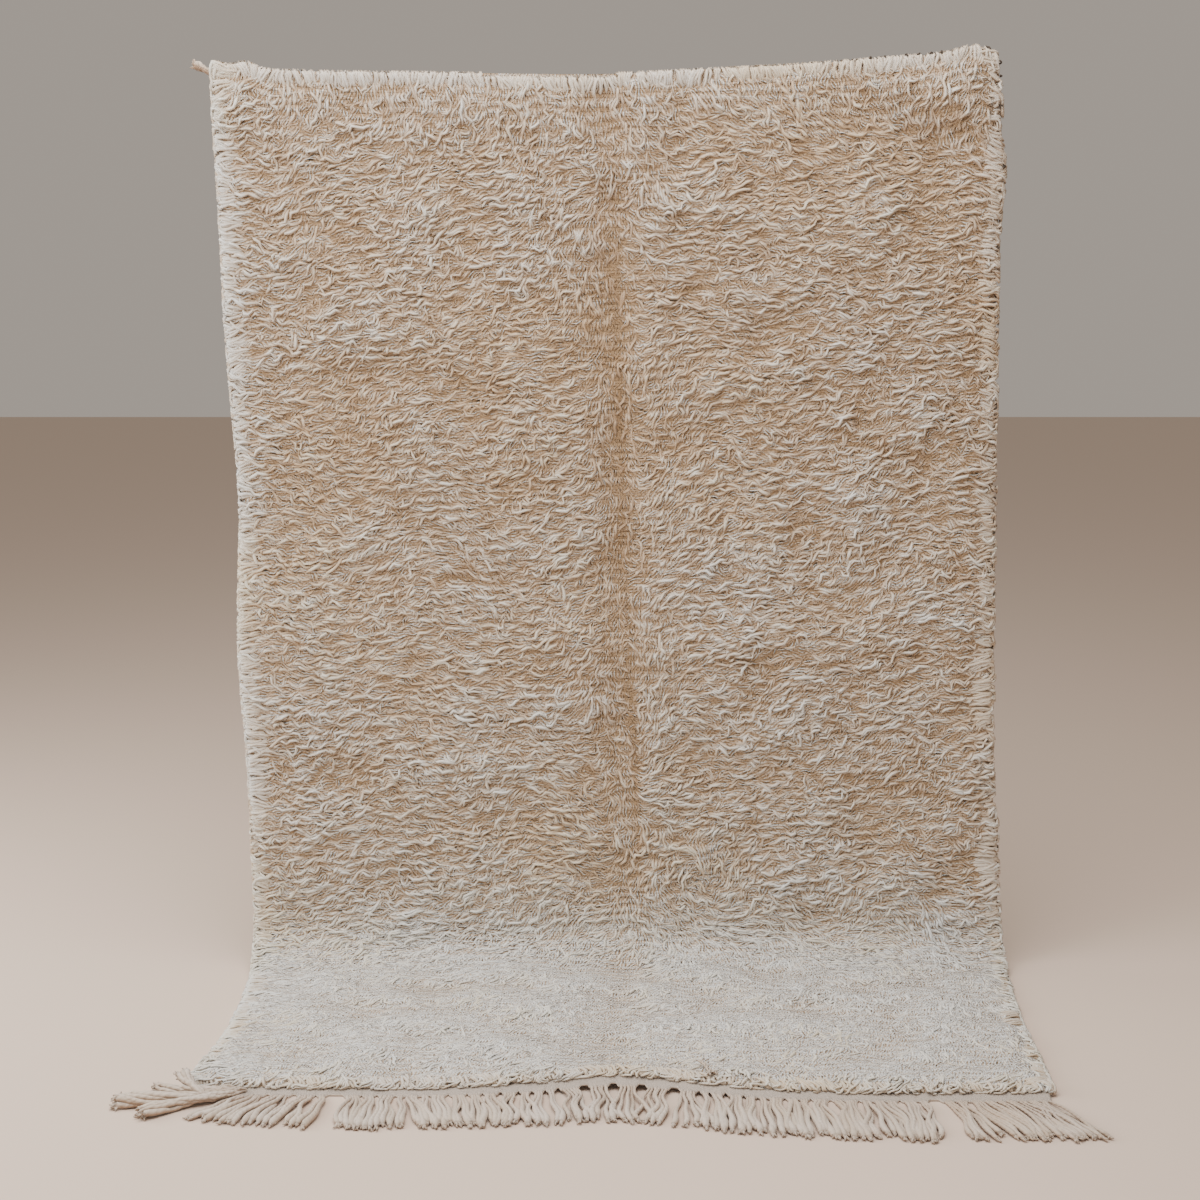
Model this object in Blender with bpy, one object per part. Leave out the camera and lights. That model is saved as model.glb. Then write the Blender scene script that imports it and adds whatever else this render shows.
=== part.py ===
"""Ivory beni ourain rug, hung by its top edge, with its lower end swept forward along the floor.

Metres, +Z up, the pile faces -Y, the floor is z = 0 and the origin is the middle of the footprint. The rug
is knotted flat, so each piece is modelled flat first: x is the distance across the rug from its middle, y
the distance down it from its top edge, and z the height above the woven back. It is then draped on one path,
which runs straight down, round the bend at the floor and forward along the floor.
"""
import math
import random

import bmesh
import bpy
import numpy as np
from mathutils import Vector, noise

# Driving dimensions.
WIDTH = 1.50            # between the selvedges
TOP_Z = 1.79            # the level from which the rug is measured down
HANG_Y = 0.43           # the back of the hanging part, behind the origin
BEND_RADIUS = 0.10      # of the woven back, where the rug turns along the floor
FLOOR_RUN = 0.665       # from the hanging part forward to the pile's front edge
BASE_THICK = 0.008      # woven base with the roots of the knots
PILE_THICK = 0.026      # base and pile together
GAP = 0.0005            # between neighbouring pieces
MIDDLE_X = -0.011       # where the rug's middle stands, so that its footprint is centred

STRAIGHT_LENGTH = TOP_Z - BEND_RADIUS
BEND_LENGTH = BEND_RADIUS * math.pi / 2
FIELD_LENGTH = STRAIGHT_LENGTH + BEND_LENGTH + FLOOR_RUN - BEND_RADIUS

# Cells of the field's mesh: across it, and down its straight, bent and lying stretches.
FIELD_COLUMNS = 26
FIELD_ROWS = (26, 6, 9)

# The selvedges wander, as the rug hangs a little askew: distance down, left edge x, right edge x.
SIDE_EDGES = np.array([
    (0.00, -0.738, 0.757),
    (0.10, -0.737, 0.763),
    (0.21, -0.733, 0.770),
    (0.33, -0.729, 0.765),
    (0.50, -0.725, 0.767),
    (0.67, -0.716, 0.769),
    (0.85, -0.707, 0.773),
    (0.97, -0.713, 0.775),
    (1.15, -0.718, 0.780),
    (1.34, -0.708, 0.786),
    (1.52, -0.704, 0.799),
    (1.69, -0.702, 0.811),
    (1.77, -0.702, 0.817),
    (1.85, -0.699, 0.813),
    (2.00, -0.696, 0.801),
    (2.20, -0.703, 0.796),
    (2.31, -0.712, 0.795),
    (2.45, -0.724, 0.786),
])

# The top edge sags between its corners: distance across, rise over TOP_Z.
TOP_EDGE = np.array([
    (-0.75, 0.008),
    (-0.68, 0.011),
    (-0.58, -0.006),
    (-0.39, -0.011),
    (-0.20, -0.013),
    (-0.01, -0.014),
    (0.18, -0.006),
    (0.37, 0.004),
    (0.56, 0.018),
    (0.65, 0.026),
    (0.71, 0.038),
    (0.75, 0.022),
])

# The front edge waves and lifts off the floor about the crease: distance across, reach past FLOOR_RUN, lift.
FRONT_EDGE = np.array([
    (-0.75, 0.000, 0.003),
    (-0.27, 0.000, 0.003),
    (-0.13, -0.010, 0.008),
    (0.01, -0.026, 0.015),
    (0.08, -0.016, 0.012),
    (0.15, -0.002, 0.010),
    (0.23, 0.010, 0.006),
    (0.34, 0.020, 0.003),
    (0.75, 0.022, 0.003),
])
FRONT_CURL = 0.09       # how far back from the front edge the lift reaches

# Soft folds of the hanging part: centre across and down, reach across and down, turn, push to the front.
FOLDS = (
    (0.000, 0.95, 0.034, 1.15, 0.00, -0.011),
    (0.640, 0.10, 0.050, 0.17, 0.75, 0.014),
    (0.590, 0.15, 0.035, 0.15, 0.75, -0.010),
    (0.300, 1.11, 0.330, 0.05, 0.05, 0.007),
    (-0.500, 0.60, 0.200, 0.45, 0.20, 0.008),
    (0.550, 1.45, 0.220, 0.20, -0.10, -0.007),
)

# The pile's surface: lumps, the trodden crease down the middle, and a thinner rim.
LUMP_SIZE = 0.11
LUMP_DEPTH = 0.010
FLAT_LUMP_SHARE = 0.5   # the second set of lumps, to the first
FLAT_LUMP_RATIO = 2.2   # how much wider than high they are
CREASE_HALF_WIDTH = 0.045
CREASE_DEPTH = 0.007
LEAST_PILE = 0.008      # left in the deepest hollow
RIM_REACH = 0.05
RIM_SHARE = 0.62        # of the pile's height left at the rim

# Locks of pile that stand out all round the field's rim.
LOCK_REACH = {"left": 0.006, "right": 0.010, "top": 0.004, "front": 0.012}
LOCK_SPREAD = (0.6, 1.25)   # the shortest and longest, to their side's reach
LOCK_DROOP = 0.005      # how far down the rug a side lock's tip hangs
LOCK_SHIFT = 0.2        # along the rim, to its cell
LOCK_WIDTH = 0.50       # of its cell
LOCK_HEIGHT = 0.8       # of its cell
LOCK_TAPER = 0.35
TASSEL_SIDE = -0.63     # no locks stand over the corner tassel, left of here

# The end strips and their fringes.
STRIP_WIDTH = 0.027
STRIP_THICK = 0.0035
STRAND_SWELL = 1.15     # a strand's width to its root's
STRAND_THICK = 1.6      # a strand's height to its root's
FRONT_STRANDS = 104
FRONT_STRIP_ENDS = (-0.638, 0.785)
FRONT_STRIP_FALL = 0.25     # the share of its lift that the strip loses across its width
FRONT_RINGS = (0.035, 0.090, 0.150)
FRONT_BARE = ((-0.476, -0.444), (0.572, 0.588))
LENGTH_SPREAD = 0.05
BUNCH = 0.0028          # how far a strand's tip leans to the middle one of its three
WAVE = 0.0011
WAVE_ANGLE = 3.4        # that a strand's wave turns through on its way to the tip
TIP_SWAY = 0.0008
BACK_STRANDS = 44
BACK_RINGS = (0.070, 0.145)
BACK_STRIP_INSET = 0.015
BACK_CLEARANCE = 0.002
BACK_FLARE = 0.017      # how far behind the cloth the back strands' tips stand
BACK_SWAY = 0.004
BACK_LENGTH_SPREAD = 0.010

# The front strands fan out at the rug's corners, and are longest at the right: distance across, lean to the
# right for each metre forward, length as a share of the last ring's distance.
STRAND_LAY = np.array([
    (-0.64, -1.10, 0.80),
    (-0.60, -0.75, 0.84),
    (-0.56, -0.40, 0.86),
    (-0.51, -0.14, 0.87),
    (-0.43, 0.00, 0.86),
    (0.10, 0.00, 0.87),
    (0.35, 0.02, 0.97),
    (0.50, 0.05, 1.00),
    (0.62, 0.20, 1.05),
    (0.70, 0.38, 1.13),
    (0.79, 0.56, 1.26),
])

# The corner tassels' middle lines from root to tip: x, y from the hanging part's back, z. The front one rests
# on the floor, half its own thickness up.
FRONT_TASSEL_THICK = 0.018
FRONT_TASSEL_LINE = (
    (-0.668, -0.6675, FRONT_TASSEL_THICK / 2),
    (-0.668, -0.6820, FRONT_TASSEL_THICK / 2),
    (-0.687, -0.7020, FRONT_TASSEL_THICK / 2),
    (-0.745, -0.7160, FRONT_TASSEL_THICK / 2),
    (-0.838, -0.7360, FRONT_TASSEL_THICK / 2),
)
TOP_TASSEL_LINE = (
    (-0.7275, 0.0088, 1.7745),
    (-0.7430, 0.0088, 1.7800),
    (-0.7580, 0.0088, 1.7875),
    (-0.7780, 0.0088, 1.7970),
)
TASSEL_RINGS = 3        # along its loose strands
TASSEL_PARTING = 0.10   # cut back all round a strand, to its width
LOOK_AHEAD = 0.02       # along a tassel's line, to find the way it runs


def clear_scene():
    """Starts from an empty scene."""
    for obj in list(bpy.data.objects):
        bpy.data.objects.remove(obj)


def yarn_material(name, colour):
    """Matt yarn."""
    material = bpy.data.materials.new(name)
    material.use_nodes = True
    shader = material.node_tree.nodes["Principled BSDF"]
    shader.inputs["Base Color"].default_value = (*colour, 1.0)
    shader.inputs["Roughness"].default_value = 0.95
    shader.inputs["Metallic"].default_value = 0.0
    return material


def read_table(table, column, at):
    """Reads a column of a table on a smooth curve through its rows; the first column is the place."""
    places = table[:, 0]
    values = table[:, column]
    slopes = np.gradient(values, places)
    row = int(np.clip(np.searchsorted(places, at) - 1, 0, len(places) - 2))
    span = places[row + 1] - places[row]
    t = min(max((at - places[row]) / span, 0.0), 1.0)
    start = values[row] * (1 + 2 * t) + slopes[row] * span * t
    end = values[row + 1] * (3 - 2 * t) + slopes[row + 1] * span * (t - 1)
    return float(start * (1 - t) ** 2 + end * t ** 2)


def smooth_step(low, high, at):
    """Rises from 0 at low to 1 at high."""
    t = min(max((at - low) / (high - low), 0.0), 1.0)
    return t * t * (3 - 2 * t)


def path_point(down):
    """The woven back's y and z at a distance down the rug, and its normal's, which points into the pile."""
    if down < STRAIGHT_LENGTH:
        return HANG_Y, TOP_Z - down, -1.0, 0.0
    angle = (down - STRAIGHT_LENGTH) / BEND_RADIUS
    if angle < math.pi / 2:
        y = HANG_Y - BEND_RADIUS + BEND_RADIUS * math.cos(angle)
        z = BEND_RADIUS - BEND_RADIUS * math.sin(angle)
        return y, z, -math.cos(angle), math.sin(angle)
    return HANG_Y - BEND_RADIUS - (down - STRAIGHT_LENGTH - BEND_LENGTH), 0.0, 0.0, 1.0


def fold_push(across, down):
    """How far the cloth stands to the front in its soft folds; none at its held top and near the floor."""
    push = 0.0
    for fold_across, fold_down, reach_across, reach_down, turn, depth in FOLDS:
        x = across - fold_across
        y = down - fold_down
        along = x * math.cos(turn) - y * math.sin(turn)
        beside = x * math.sin(turn) + y * math.cos(turn)
        push += depth * math.exp(-((along / reach_across) ** 2) - (beside / reach_down) ** 2)
    free_of_top = smooth_step(0.0, 0.10, down)
    return push * free_of_top * (1 - smooth_step(STRAIGHT_LENGTH - 0.30, STRAIGHT_LENGTH - 0.02, down))


def drape(across, down, height):
    """Takes a point of the flat rug to its place on the hung rug."""
    left = read_table(SIDE_EDGES, 1, down)
    right = read_table(SIDE_EDGES, 2, down)
    share = down / FIELD_LENGTH
    rise = read_table(TOP_EDGE, 1, across) * max(1 - share, 0.0) ** 3
    reach = read_table(FRONT_EDGE, 1, across) * smooth_step(0.75, 1.0, share)
    y, z, normal_y, normal_z = path_point(down - rise + reach)
    out = height + fold_push(across, down)
    curl = smooth_step(FIELD_LENGTH - FRONT_CURL, FIELD_LENGTH, down)
    lift = read_table(FRONT_EDGE, 2, across) * curl
    x = (left + right) / 2 + across * (right - left) / WIDTH
    return Vector((x, y + normal_y * out, z + normal_z * out + lift))


def pile_height(across, down):
    """How high the pile stands on its base at a place."""
    lump = noise.noise(Vector((across, down, 0.0)) / LUMP_SIZE)
    lump += FLAT_LUMP_SHARE * noise.noise(Vector((across, FLAT_LUMP_RATIO * down, WIDTH)) / LUMP_SIZE)
    crease = CREASE_DEPTH * math.exp(-((across / CREASE_HALF_WIDTH) ** 2))
    height = PILE_THICK - BASE_THICK + LUMP_DEPTH * lump - crease
    from_rim = min(WIDTH / 2 - abs(across), down, FIELD_LENGTH - down)
    rim = RIM_SHARE + (1 - RIM_SHARE) * smooth_step(0.0, RIM_REACH, from_rim)
    return max(height, LEAST_PILE) * rim


def field_row_places():
    """Distances down the rug of the field's rows, closer together round the bend."""
    bend_end = STRAIGHT_LENGTH + BEND_LENGTH
    straight = np.linspace(0.0, STRAIGHT_LENGTH, FIELD_ROWS[0] + 1)
    bend = np.linspace(STRAIGHT_LENGTH, bend_end, FIELD_ROWS[1] + 1)
    lying = np.linspace(bend_end, FIELD_LENGTH, FIELD_ROWS[2] + 1)
    return np.concatenate((straight, bend[1:], lying[1:]))


def thicken(bm, faces, height):
    """Raises a sheet of faces into a slab and returns the faces on top."""
    region = bmesh.ops.extrude_face_region(bm, geom=faces)["geom"]
    top = [item for item in region if isinstance(item, bmesh.types.BMFace)]
    bmesh.ops.translate(bm, verts=list({v for face in top for v in face.verts}), vec=(0, 0, height))
    return top


def scale_face(face, factors):
    """Scales a face's corners about its middle."""
    middle = face.calc_center_median()
    for vert in face.verts:
        vert.co = middle + (vert.co - middle) * Vector(factors)


def by_place(faces):
    """Puts faces in an order that depends on their places alone."""
    return sorted(faces, key=lambda face: tuple(face.calc_center_median()))


def rim_side(place):
    """Which side of the flat rug a place on its rim is on, and the way out of the rug there."""
    if abs(place.x) > WIDTH / 2 - GAP:
        return ("right", Vector((1, 0, 0))) if place.x > 0 else ("left", Vector((-1, 0, 0)))
    return ("top", Vector((0, -1, 0))) if place.y < GAP else ("front", Vector((0, 1, 0)))


def raise_rim_locks(bm, rim_faces):
    """Draws a tapered lock out of each given rim face, all of unlike length and a little off the middle."""
    draw = random.Random(11)
    bases = bmesh.ops.extrude_discrete_faces(bm, faces=rim_faces)["faces"]
    for face in by_place(bases):
        outward = rim_side(face.calc_center_median())[1]
        run = max(edge.calc_length() for edge in face.edges)
        shift = Vector((abs(outward.y), abs(outward.x), 0)) * run * LOCK_SHIFT * draw.uniform(-1, 1)
        scale_face(face, (1, LOCK_WIDTH, LOCK_HEIGHT) if outward.x else (LOCK_WIDTH, 1, LOCK_HEIGHT))
        bmesh.ops.translate(bm, verts=face.verts, vec=shift)
    tips = bmesh.ops.extrude_discrete_faces(bm, faces=bases)["faces"]
    for face in by_place(tips):
        side, outward = rim_side(face.calc_center_median())
        droop = Vector((0, LOCK_DROOP * abs(outward.x), 0))
        scale_face(face, (LOCK_TAPER, LOCK_TAPER, LOCK_TAPER))
        reach = outward * LOCK_REACH[side] * draw.uniform(*LOCK_SPREAD) + droop
        bmesh.ops.translate(bm, verts=face.verts, vec=reach)


def add_object(name, bm, material):
    """Closes a bmesh into a smooth named object, centred on the footprint."""
    bmesh.ops.translate(bm, verts=bm.verts, vec=(MIDDLE_X, 0, 0))
    bmesh.ops.recalc_face_normals(bm, faces=bm.faces)
    if bm.calc_volume(signed=True) < 0:
        bmesh.ops.reverse_faces(bm, faces=bm.faces)
    mesh = bpy.data.meshes.new(name)
    bm.to_mesh(mesh)
    bm.free()
    mesh.materials.append(material)
    mesh.shade_smooth()
    obj = bpy.data.objects.new(name, mesh)
    bpy.context.scene.collection.objects.link(obj)
    return obj


def pile_field(material):
    """The knotted cloth with its pile: a lumpy slab with locks at its rim, draped to the floor."""
    bm = bmesh.new()
    rows = field_row_places()
    bmesh.ops.create_grid(bm, x_segments=FIELD_COLUMNS, y_segments=sum(FIELD_ROWS), size=0.5)
    for vert in bm.verts:
        row = round((vert.co.y + 0.5) * sum(FIELD_ROWS))
        vert.co = Vector((vert.co.x * WIDTH, rows[row], 0.0))
    base_top = thicken(bm, list(bm.faces), BASE_THICK)
    thicken(bm, base_top, PILE_THICK - BASE_THICK)
    bmesh.ops.delete(bm, geom=base_top, context="FACES_ONLY")
    bmesh.ops.recalc_face_normals(bm, faces=bm.faces)
    rim = [f for f in bm.faces if abs(f.normal.z) < 0.5 and f.calc_center_median().z > BASE_THICK]
    spaced = []
    for face in rim:
        across, down, _ = face.calc_center_median()
        column = round(across / WIDTH * FIELD_COLUMNS - 0.5)
        at_top = down < GAP and column % 2
        at_bend = STRAIGHT_LENGTH < down < STRAIGHT_LENGTH + BEND_LENGTH
        at_tassel = down > FIELD_LENGTH - GAP and across < TASSEL_SIDE
        if not (at_top or at_bend or at_tassel):
            spaced.append(face)
    raise_rim_locks(bm, spaced)
    for vert in bm.verts:
        across, down, height = vert.co
        if height > BASE_THICK + GAP:
            share = (height - BASE_THICK) / (PILE_THICK - BASE_THICK)
            height = BASE_THICK + share * pile_height(across, down)
        vert.co = drape(across, down, height)
    return add_object("pile_field", bm, material)


def comb(strands, length, rings, bare=()):
    """A flat strip with straight strands fused along its front edge, leaving out those in the bare places.

    x runs along the strip, y from its inner edge forward, z through it.
    """
    bm = bmesh.new()
    columns = 2 * strands + 1
    bmesh.ops.create_grid(bm, x_segments=columns, y_segments=1, size=0.5)
    bmesh.ops.translate(bm, verts=bm.verts, vec=(0, 0.5, 0))
    bmesh.ops.scale(bm, verts=bm.verts, vec=(length, STRIP_WIDTH, 1))
    thicken(bm, list(bm.faces), STRIP_THICK)
    bm.normal_update()
    roots = []
    for face in bm.faces:
        centre = face.calc_center_median()
        column = round(centre.x / length * columns + strands)
        is_bare = any(low < centre.x < high for low, high in bare)
        if centre.y > STRIP_WIDTH - GAP and column % 2 and not is_bare:
            roots.append(face)
    reached = 0.0
    for ring in rings:
        roots = bmesh.ops.extrude_discrete_faces(bm, faces=roots)["faces"]
        bmesh.ops.translate(bm, verts=[v for f in roots for v in f.verts], vec=(0, ring - reached, 0))
        reached = ring
    return bm


def strand_index(across, length, strands):
    """Which strand a corner of the flat comb belongs to."""
    columns = 2 * strands + 1
    return (round((across / length + 0.5) * columns) - 1) // 2


def strand_middle(index, length, strands):
    """Where a strand's middle line leaves the strip."""
    return length * ((2 * index + 1.5) / (2 * strands + 1) - 0.5)


def front_fringe(material):
    """The front end strip, butted to the pile's front edge, and its strands, which fall to the floor."""
    low, high = FRONT_STRIP_ENDS
    strip = high - low
    middle = (low + high) / 2
    bare = [(start - middle, end - middle) for start, end in FRONT_BARE]
    bm = comb(FRONT_STRANDS, strip, FRONT_RINGS, bare)
    corners = [drape(WIDTH * (c / FIELD_COLUMNS - 0.5), FIELD_LENGTH, 0.0) for c in range(FIELD_COLUMNS + 1)]
    edge = np.array(corners)
    draw = random.Random(5)
    shake = [draw.uniform(-1, 1) for _ in range(2 * FRONT_STRANDS)]
    for vert in bm.verts:
        across, forward, height = vert.co
        beyond = forward - STRIP_WIDTH
        index = strand_index(across, strip, FRONT_STRANDS)
        root = strand_middle(index, strip, FRONT_STRANDS) if beyond > GAP else across
        x = middle + root
        y = np.interp(x, edge[:, 0], edge[:, 1]) - GAP
        lift = np.interp(x, edge[:, 0], edge[:, 2]) + GAP
        if beyond <= GAP:
            slope = 1 - FRONT_STRIP_FALL * forward / STRIP_WIDTH
            vert.co = Vector((x, y - forward, lift * slope + height))
            continue
        out = beyond / FRONT_RINGS[-1]
        lean = read_table(STRAND_LAY, 1, x)
        length_share = read_table(STRAND_LAY, 2, x) + LENGTH_SPREAD * shake[index]
        reach = beyond / math.hypot(1, lean) * length_share
        bunch = BUNCH * (1 - index % 3) * out
        wave = WAVE * shake[index + FRONT_STRANDS] * math.sin(WAVE_ANGLE * out)
        x += lean * reach + bunch + wave + TIP_SWAY * shake[index] * out + (across - root) * STRAND_SWELL
        fall = (1 - FRONT_STRIP_FALL) * lift * (1 - smooth_step(0.0, FRONT_RINGS[0], beyond))
        vert.co = Vector((x, y - STRIP_WIDTH - reach, fall + height * STRAND_THICK))
    return add_object("front_fringe", bm, material)


def back_fringe(material):
    """The other end strip and its strands, turned down behind the rug's top edge."""
    length = WIDTH - 2 * BACK_STRIP_INSET
    bm = comb(BACK_STRANDS, length, BACK_RINGS)
    draw = random.Random(8)
    shake = [draw.uniform(-1, 1) for _ in range(2 * BACK_STRANDS)]
    for vert in bm.verts:
        across, down, height = vert.co
        behind = BACK_CLEARANCE + height
        beyond = down - STRIP_WIDTH
        if beyond > GAP:
            index = strand_index(across, length, BACK_STRANDS)
            out = beyond / BACK_RINGS[-1]
            across += BACK_SWAY * shake[index] * out
            down += BACK_LENGTH_SPREAD * shake[index + BACK_STRANDS] * out
            behind += BACK_FLARE * out
        plumb = drape(across, down, -fold_push(across, down))
        vert.co = plumb + Vector((0, behind, 0))
    return add_object("back_fringe", bm, material)


def line_point(line, share):
    """A point on the smooth curve through a line's points, at a share of the way along it."""
    places = np.linspace(0.0, 1.0, len(line))
    rows = np.column_stack((places, np.array(line)))
    return Vector([read_table(rows, column, share) for column in (1, 2, 3)])


def tassel(name, line, cells, size, head_share, flare, material):
    """A bundle of strands fused at its head and laid along a line.

    cells and size give the strands and the head's size across and through; flare is the tips' spread.
    """
    bm = bmesh.new()
    bmesh.ops.create_grid(bm, x_segments=cells[0], y_segments=cells[1], size=0.5)
    bmesh.ops.scale(bm, verts=bm.verts, vec=(size[0], size[1], 1))
    ends = thicken(bm, list(bm.faces), head_share)
    bmesh.ops.inset_individual(bm, faces=ends, thickness=TASSEL_PARTING * size[0] / cells[0])
    step = (1 - head_share) / TASSEL_RINGS
    for _ in range(TASSEL_RINGS):
        ends = bmesh.ops.extrude_discrete_faces(bm, faces=ends)["faces"]
        bmesh.ops.translate(bm, verts=[v for f in ends for v in f.verts], vec=(0, 0, step))
    for vert in bm.verts:
        side, through, share = vert.co
        here = line_point(line, share) + Vector((0, HANG_Y, 0))
        before = line_point(line, max(share - LOOK_AHEAD, 0.0))
        ahead = (line_point(line, min(share + LOOK_AHEAD, 1.0)) - before).normalized()
        across = ahead.cross(Vector((0, 0, 1))) if abs(ahead.z) < abs(ahead.y) else Vector((0, 1, 0))
        up = across.cross(ahead).normalized()
        spread = 1 + (flare - 1) * smooth_step(head_share, 1.0, share)
        vert.co = here + across.normalized() * side * spread + up * through
    return add_object(name, bm, material)


def main():
    clear_scene()
    wool = yarn_material("ivory_wool", (0.78, 0.72, 0.62))
    warp = yarn_material("undyed_warp", (0.66, 0.61, 0.56))
    pile_field(wool)
    front_fringe(warp)
    back_fringe(warp)
    tassel("front_left_tassel", FRONT_TASSEL_LINE, (3, 2), (0.026, FRONT_TASSEL_THICK), 0.22, 1.5, warp)
    tassel("top_left_tassel", TOP_TASSEL_LINE, (2, 2), (0.010, 0.011), 0.55, 1.7, warp)


main()
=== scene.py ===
"""The looks of an ivory beni ourain rug, hung by its top edge, its lower end swept forward on the floor."""
import math

import bmesh
import bpy
import numpy as np
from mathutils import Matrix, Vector, noise


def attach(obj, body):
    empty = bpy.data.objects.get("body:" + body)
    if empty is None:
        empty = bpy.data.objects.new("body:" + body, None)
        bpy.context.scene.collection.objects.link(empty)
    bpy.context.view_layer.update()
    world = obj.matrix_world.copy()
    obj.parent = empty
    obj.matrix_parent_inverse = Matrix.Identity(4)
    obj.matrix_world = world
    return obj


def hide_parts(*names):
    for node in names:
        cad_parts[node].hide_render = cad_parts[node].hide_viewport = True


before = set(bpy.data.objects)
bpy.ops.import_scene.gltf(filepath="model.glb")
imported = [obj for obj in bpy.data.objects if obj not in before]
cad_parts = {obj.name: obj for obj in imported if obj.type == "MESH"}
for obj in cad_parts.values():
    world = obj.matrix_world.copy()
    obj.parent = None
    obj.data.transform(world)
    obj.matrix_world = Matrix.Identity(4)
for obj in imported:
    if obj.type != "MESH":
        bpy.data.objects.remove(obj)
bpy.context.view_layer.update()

# ----------------------------------------------------------------
# The woven ground. Hand-spun wool warps and wefts with rows of knots, made in one piece on an upright
# loom. It hangs plumb from its top edge, turns softly at the floor and lies forward on it.
# ----------------------------------------------------------------
WIDTH = 1.50            # between the selvedges
TOP_Z = 1.79            # the level from which the rug is measured down
HANG_Y = 0.43           # the back of the hanging part
BEND_RADIUS = 0.10
FLOOR_RUN = 0.665       # from the hanging part forward to the pile's front edge
MIDDLE_X = -0.011
STRAIGHT_LENGTH = TOP_Z - BEND_RADIUS
BEND_LENGTH = BEND_RADIUS * math.pi / 2
FIELD_LENGTH = STRAIGHT_LENGTH + BEND_LENGTH + FLOOR_RUN - BEND_RADIUS

# Distance down, left edge x, right edge x.
SIDE_EDGES = np.array([
    (0.00, -0.738, 0.757),
    (0.10, -0.737, 0.763),
    (0.21, -0.733, 0.770),
    (0.33, -0.729, 0.765),
    (0.50, -0.725, 0.767),
    (0.67, -0.716, 0.769),
    (0.85, -0.707, 0.773),
    (0.97, -0.713, 0.775),
    (1.15, -0.718, 0.780),
    (1.34, -0.708, 0.786),
    (1.52, -0.704, 0.799),
    (1.69, -0.702, 0.811),
    (1.77, -0.702, 0.817),
    (1.85, -0.699, 0.813),
    (2.00, -0.696, 0.801),
    (2.20, -0.703, 0.796),
    (2.31, -0.716, 0.795),
    (2.45, -0.734, 0.786),
])

# Distance across, rise over TOP_Z.
TOP_EDGE = np.array([
    (-0.75, 0.009),
    (-0.71, 0.004),
    (-0.685, 0.008),
    (-0.655, -0.003),
    (-0.58, -0.008),
    (-0.39, -0.011),
    (-0.20, -0.013),
    (-0.01, -0.014),
    (0.18, -0.006),
    (0.37, 0.004),
    (0.56, 0.018),
    (0.65, 0.026),
    (0.71, 0.038),
    (0.75, 0.022),
])

# Distance across, reach past FLOOR_RUN, lift off the floor.
FRONT_EDGE = np.array([
    (-0.75, -0.012, 0.003),
    (-0.27, -0.012, 0.003),
    (-0.13, -0.022, 0.008),
    (0.01, -0.036, 0.015),
    (0.08, -0.027, 0.012),
    (0.15, -0.013, 0.010),
    (0.23, -0.001, 0.006),
    (0.34, 0.009, 0.003),
    (0.75, 0.011, 0.003),
])
FRONT_CURL = 0.09       # how far back from the front edge the lift reaches

# Soft folds: centre across and down, reach across and down, turn, push to the front.
FOLDS = (
    (0.000, 0.95, 0.034, 1.15, 0.00, -0.011),
    (0.640, 0.10, 0.050, 0.17, 0.75, 0.014),
    (0.590, 0.15, 0.035, 0.15, 0.75, -0.010),
    (0.300, 1.11, 0.330, 0.05, 0.05, 0.007),
    (-0.500, 0.60, 0.200, 0.45, 0.20, 0.008),
    (0.550, 1.45, 0.220, 0.20, -0.10, -0.007),
)

PILE_DEPTH = 0.018          # over the ground
LUMP_SIZE = 0.11
LUMP_DEPTH = 0.010
FLAT_LUMP_SHARE = 0.5
FLAT_LUMP_RATIO = 2.2
CREASE_HALF_WIDTH = 0.045
CREASE_DEPTH = 0.007
LEAST_PILE = 0.008
RIM_REACH = 0.05
RIM_SHARE = 0.62

# Partings, where the pile opens and its depth is painted with warm shade: centre across and down, reach
# across and down, turn, share of the pile's height.
PARTINGS = (
    (0.012, 0.62, 0.009, 0.36, 0.00, 0.44),
    (0.030, 1.33, 0.009, 0.26, 0.00, 0.46),
    (0.018, 0.80, 0.036, 0.66, 0.00, 0.11),
    (0.640, 0.10, 0.022, 0.12, 0.75, 0.24),
    (0.330, 1.155, 0.260, 0.010, 0.03, 0.34),
    (0.420, 1.205, 0.180, 0.010, -0.04, 0.26),
    (-0.320, 0.98, 0.150, 0.012, 0.03, 0.28),
    (-0.250, 1.19, 0.220, 0.011, 0.04, 0.24),
    (0.150, 0.42, 0.200, 0.014, -0.10, 0.22),
    (0.500, 0.72, 0.180, 0.014, -0.30, 0.24),
    (0.450, 0.93, 0.200, 0.013, -0.25, 0.22),
    (0.560, 1.42, 0.160, 0.014, -0.20, 0.26),
)
PARTING_OPEN = 0.5          # of that share, how much of the height is lost
PARTING_WOBBLE = 0.006
WOBBLE_LENGTH = 0.021

# The way the pile was combed: centre across and down, reach across and down, degrees from plumb to the
# right, strength.
SWEEPS = (
    (0.00, 0.00, 1.50, 0.09, 0, 2.4),
    (0.70, 0.07, 0.10, 0.10, -40, 3.0),
    (0.00, 0.85, 0.022, 1.10, 0, 2.4),
    (0.78, 1.00, 0.07, 1.10, 95, 3.5),
    (-0.75, 1.20, 0.10, 1.10, -90, 3.0),
    (-0.40, 0.42, 0.40, 0.30, -62, 1.0),
    (0.40, 0.34, 0.40, 0.22, 70, 0.8),
    (0.40, 0.95, 0.34, 0.85, 110, 1.3),
    (-0.35, 1.15, 0.34, 0.60, -85, 1.2),
    (0.00, 2.20, 1.50, 0.40, -25, 1.4),
)
WHORL_SIZE = 0.27
WHORL_STRENGTH = 0.24
WRIGGLE_SIZE = 0.034
WRIGGLE_ANGLE = 0.62
WAVES = 14                  # in each uneven field
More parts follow.
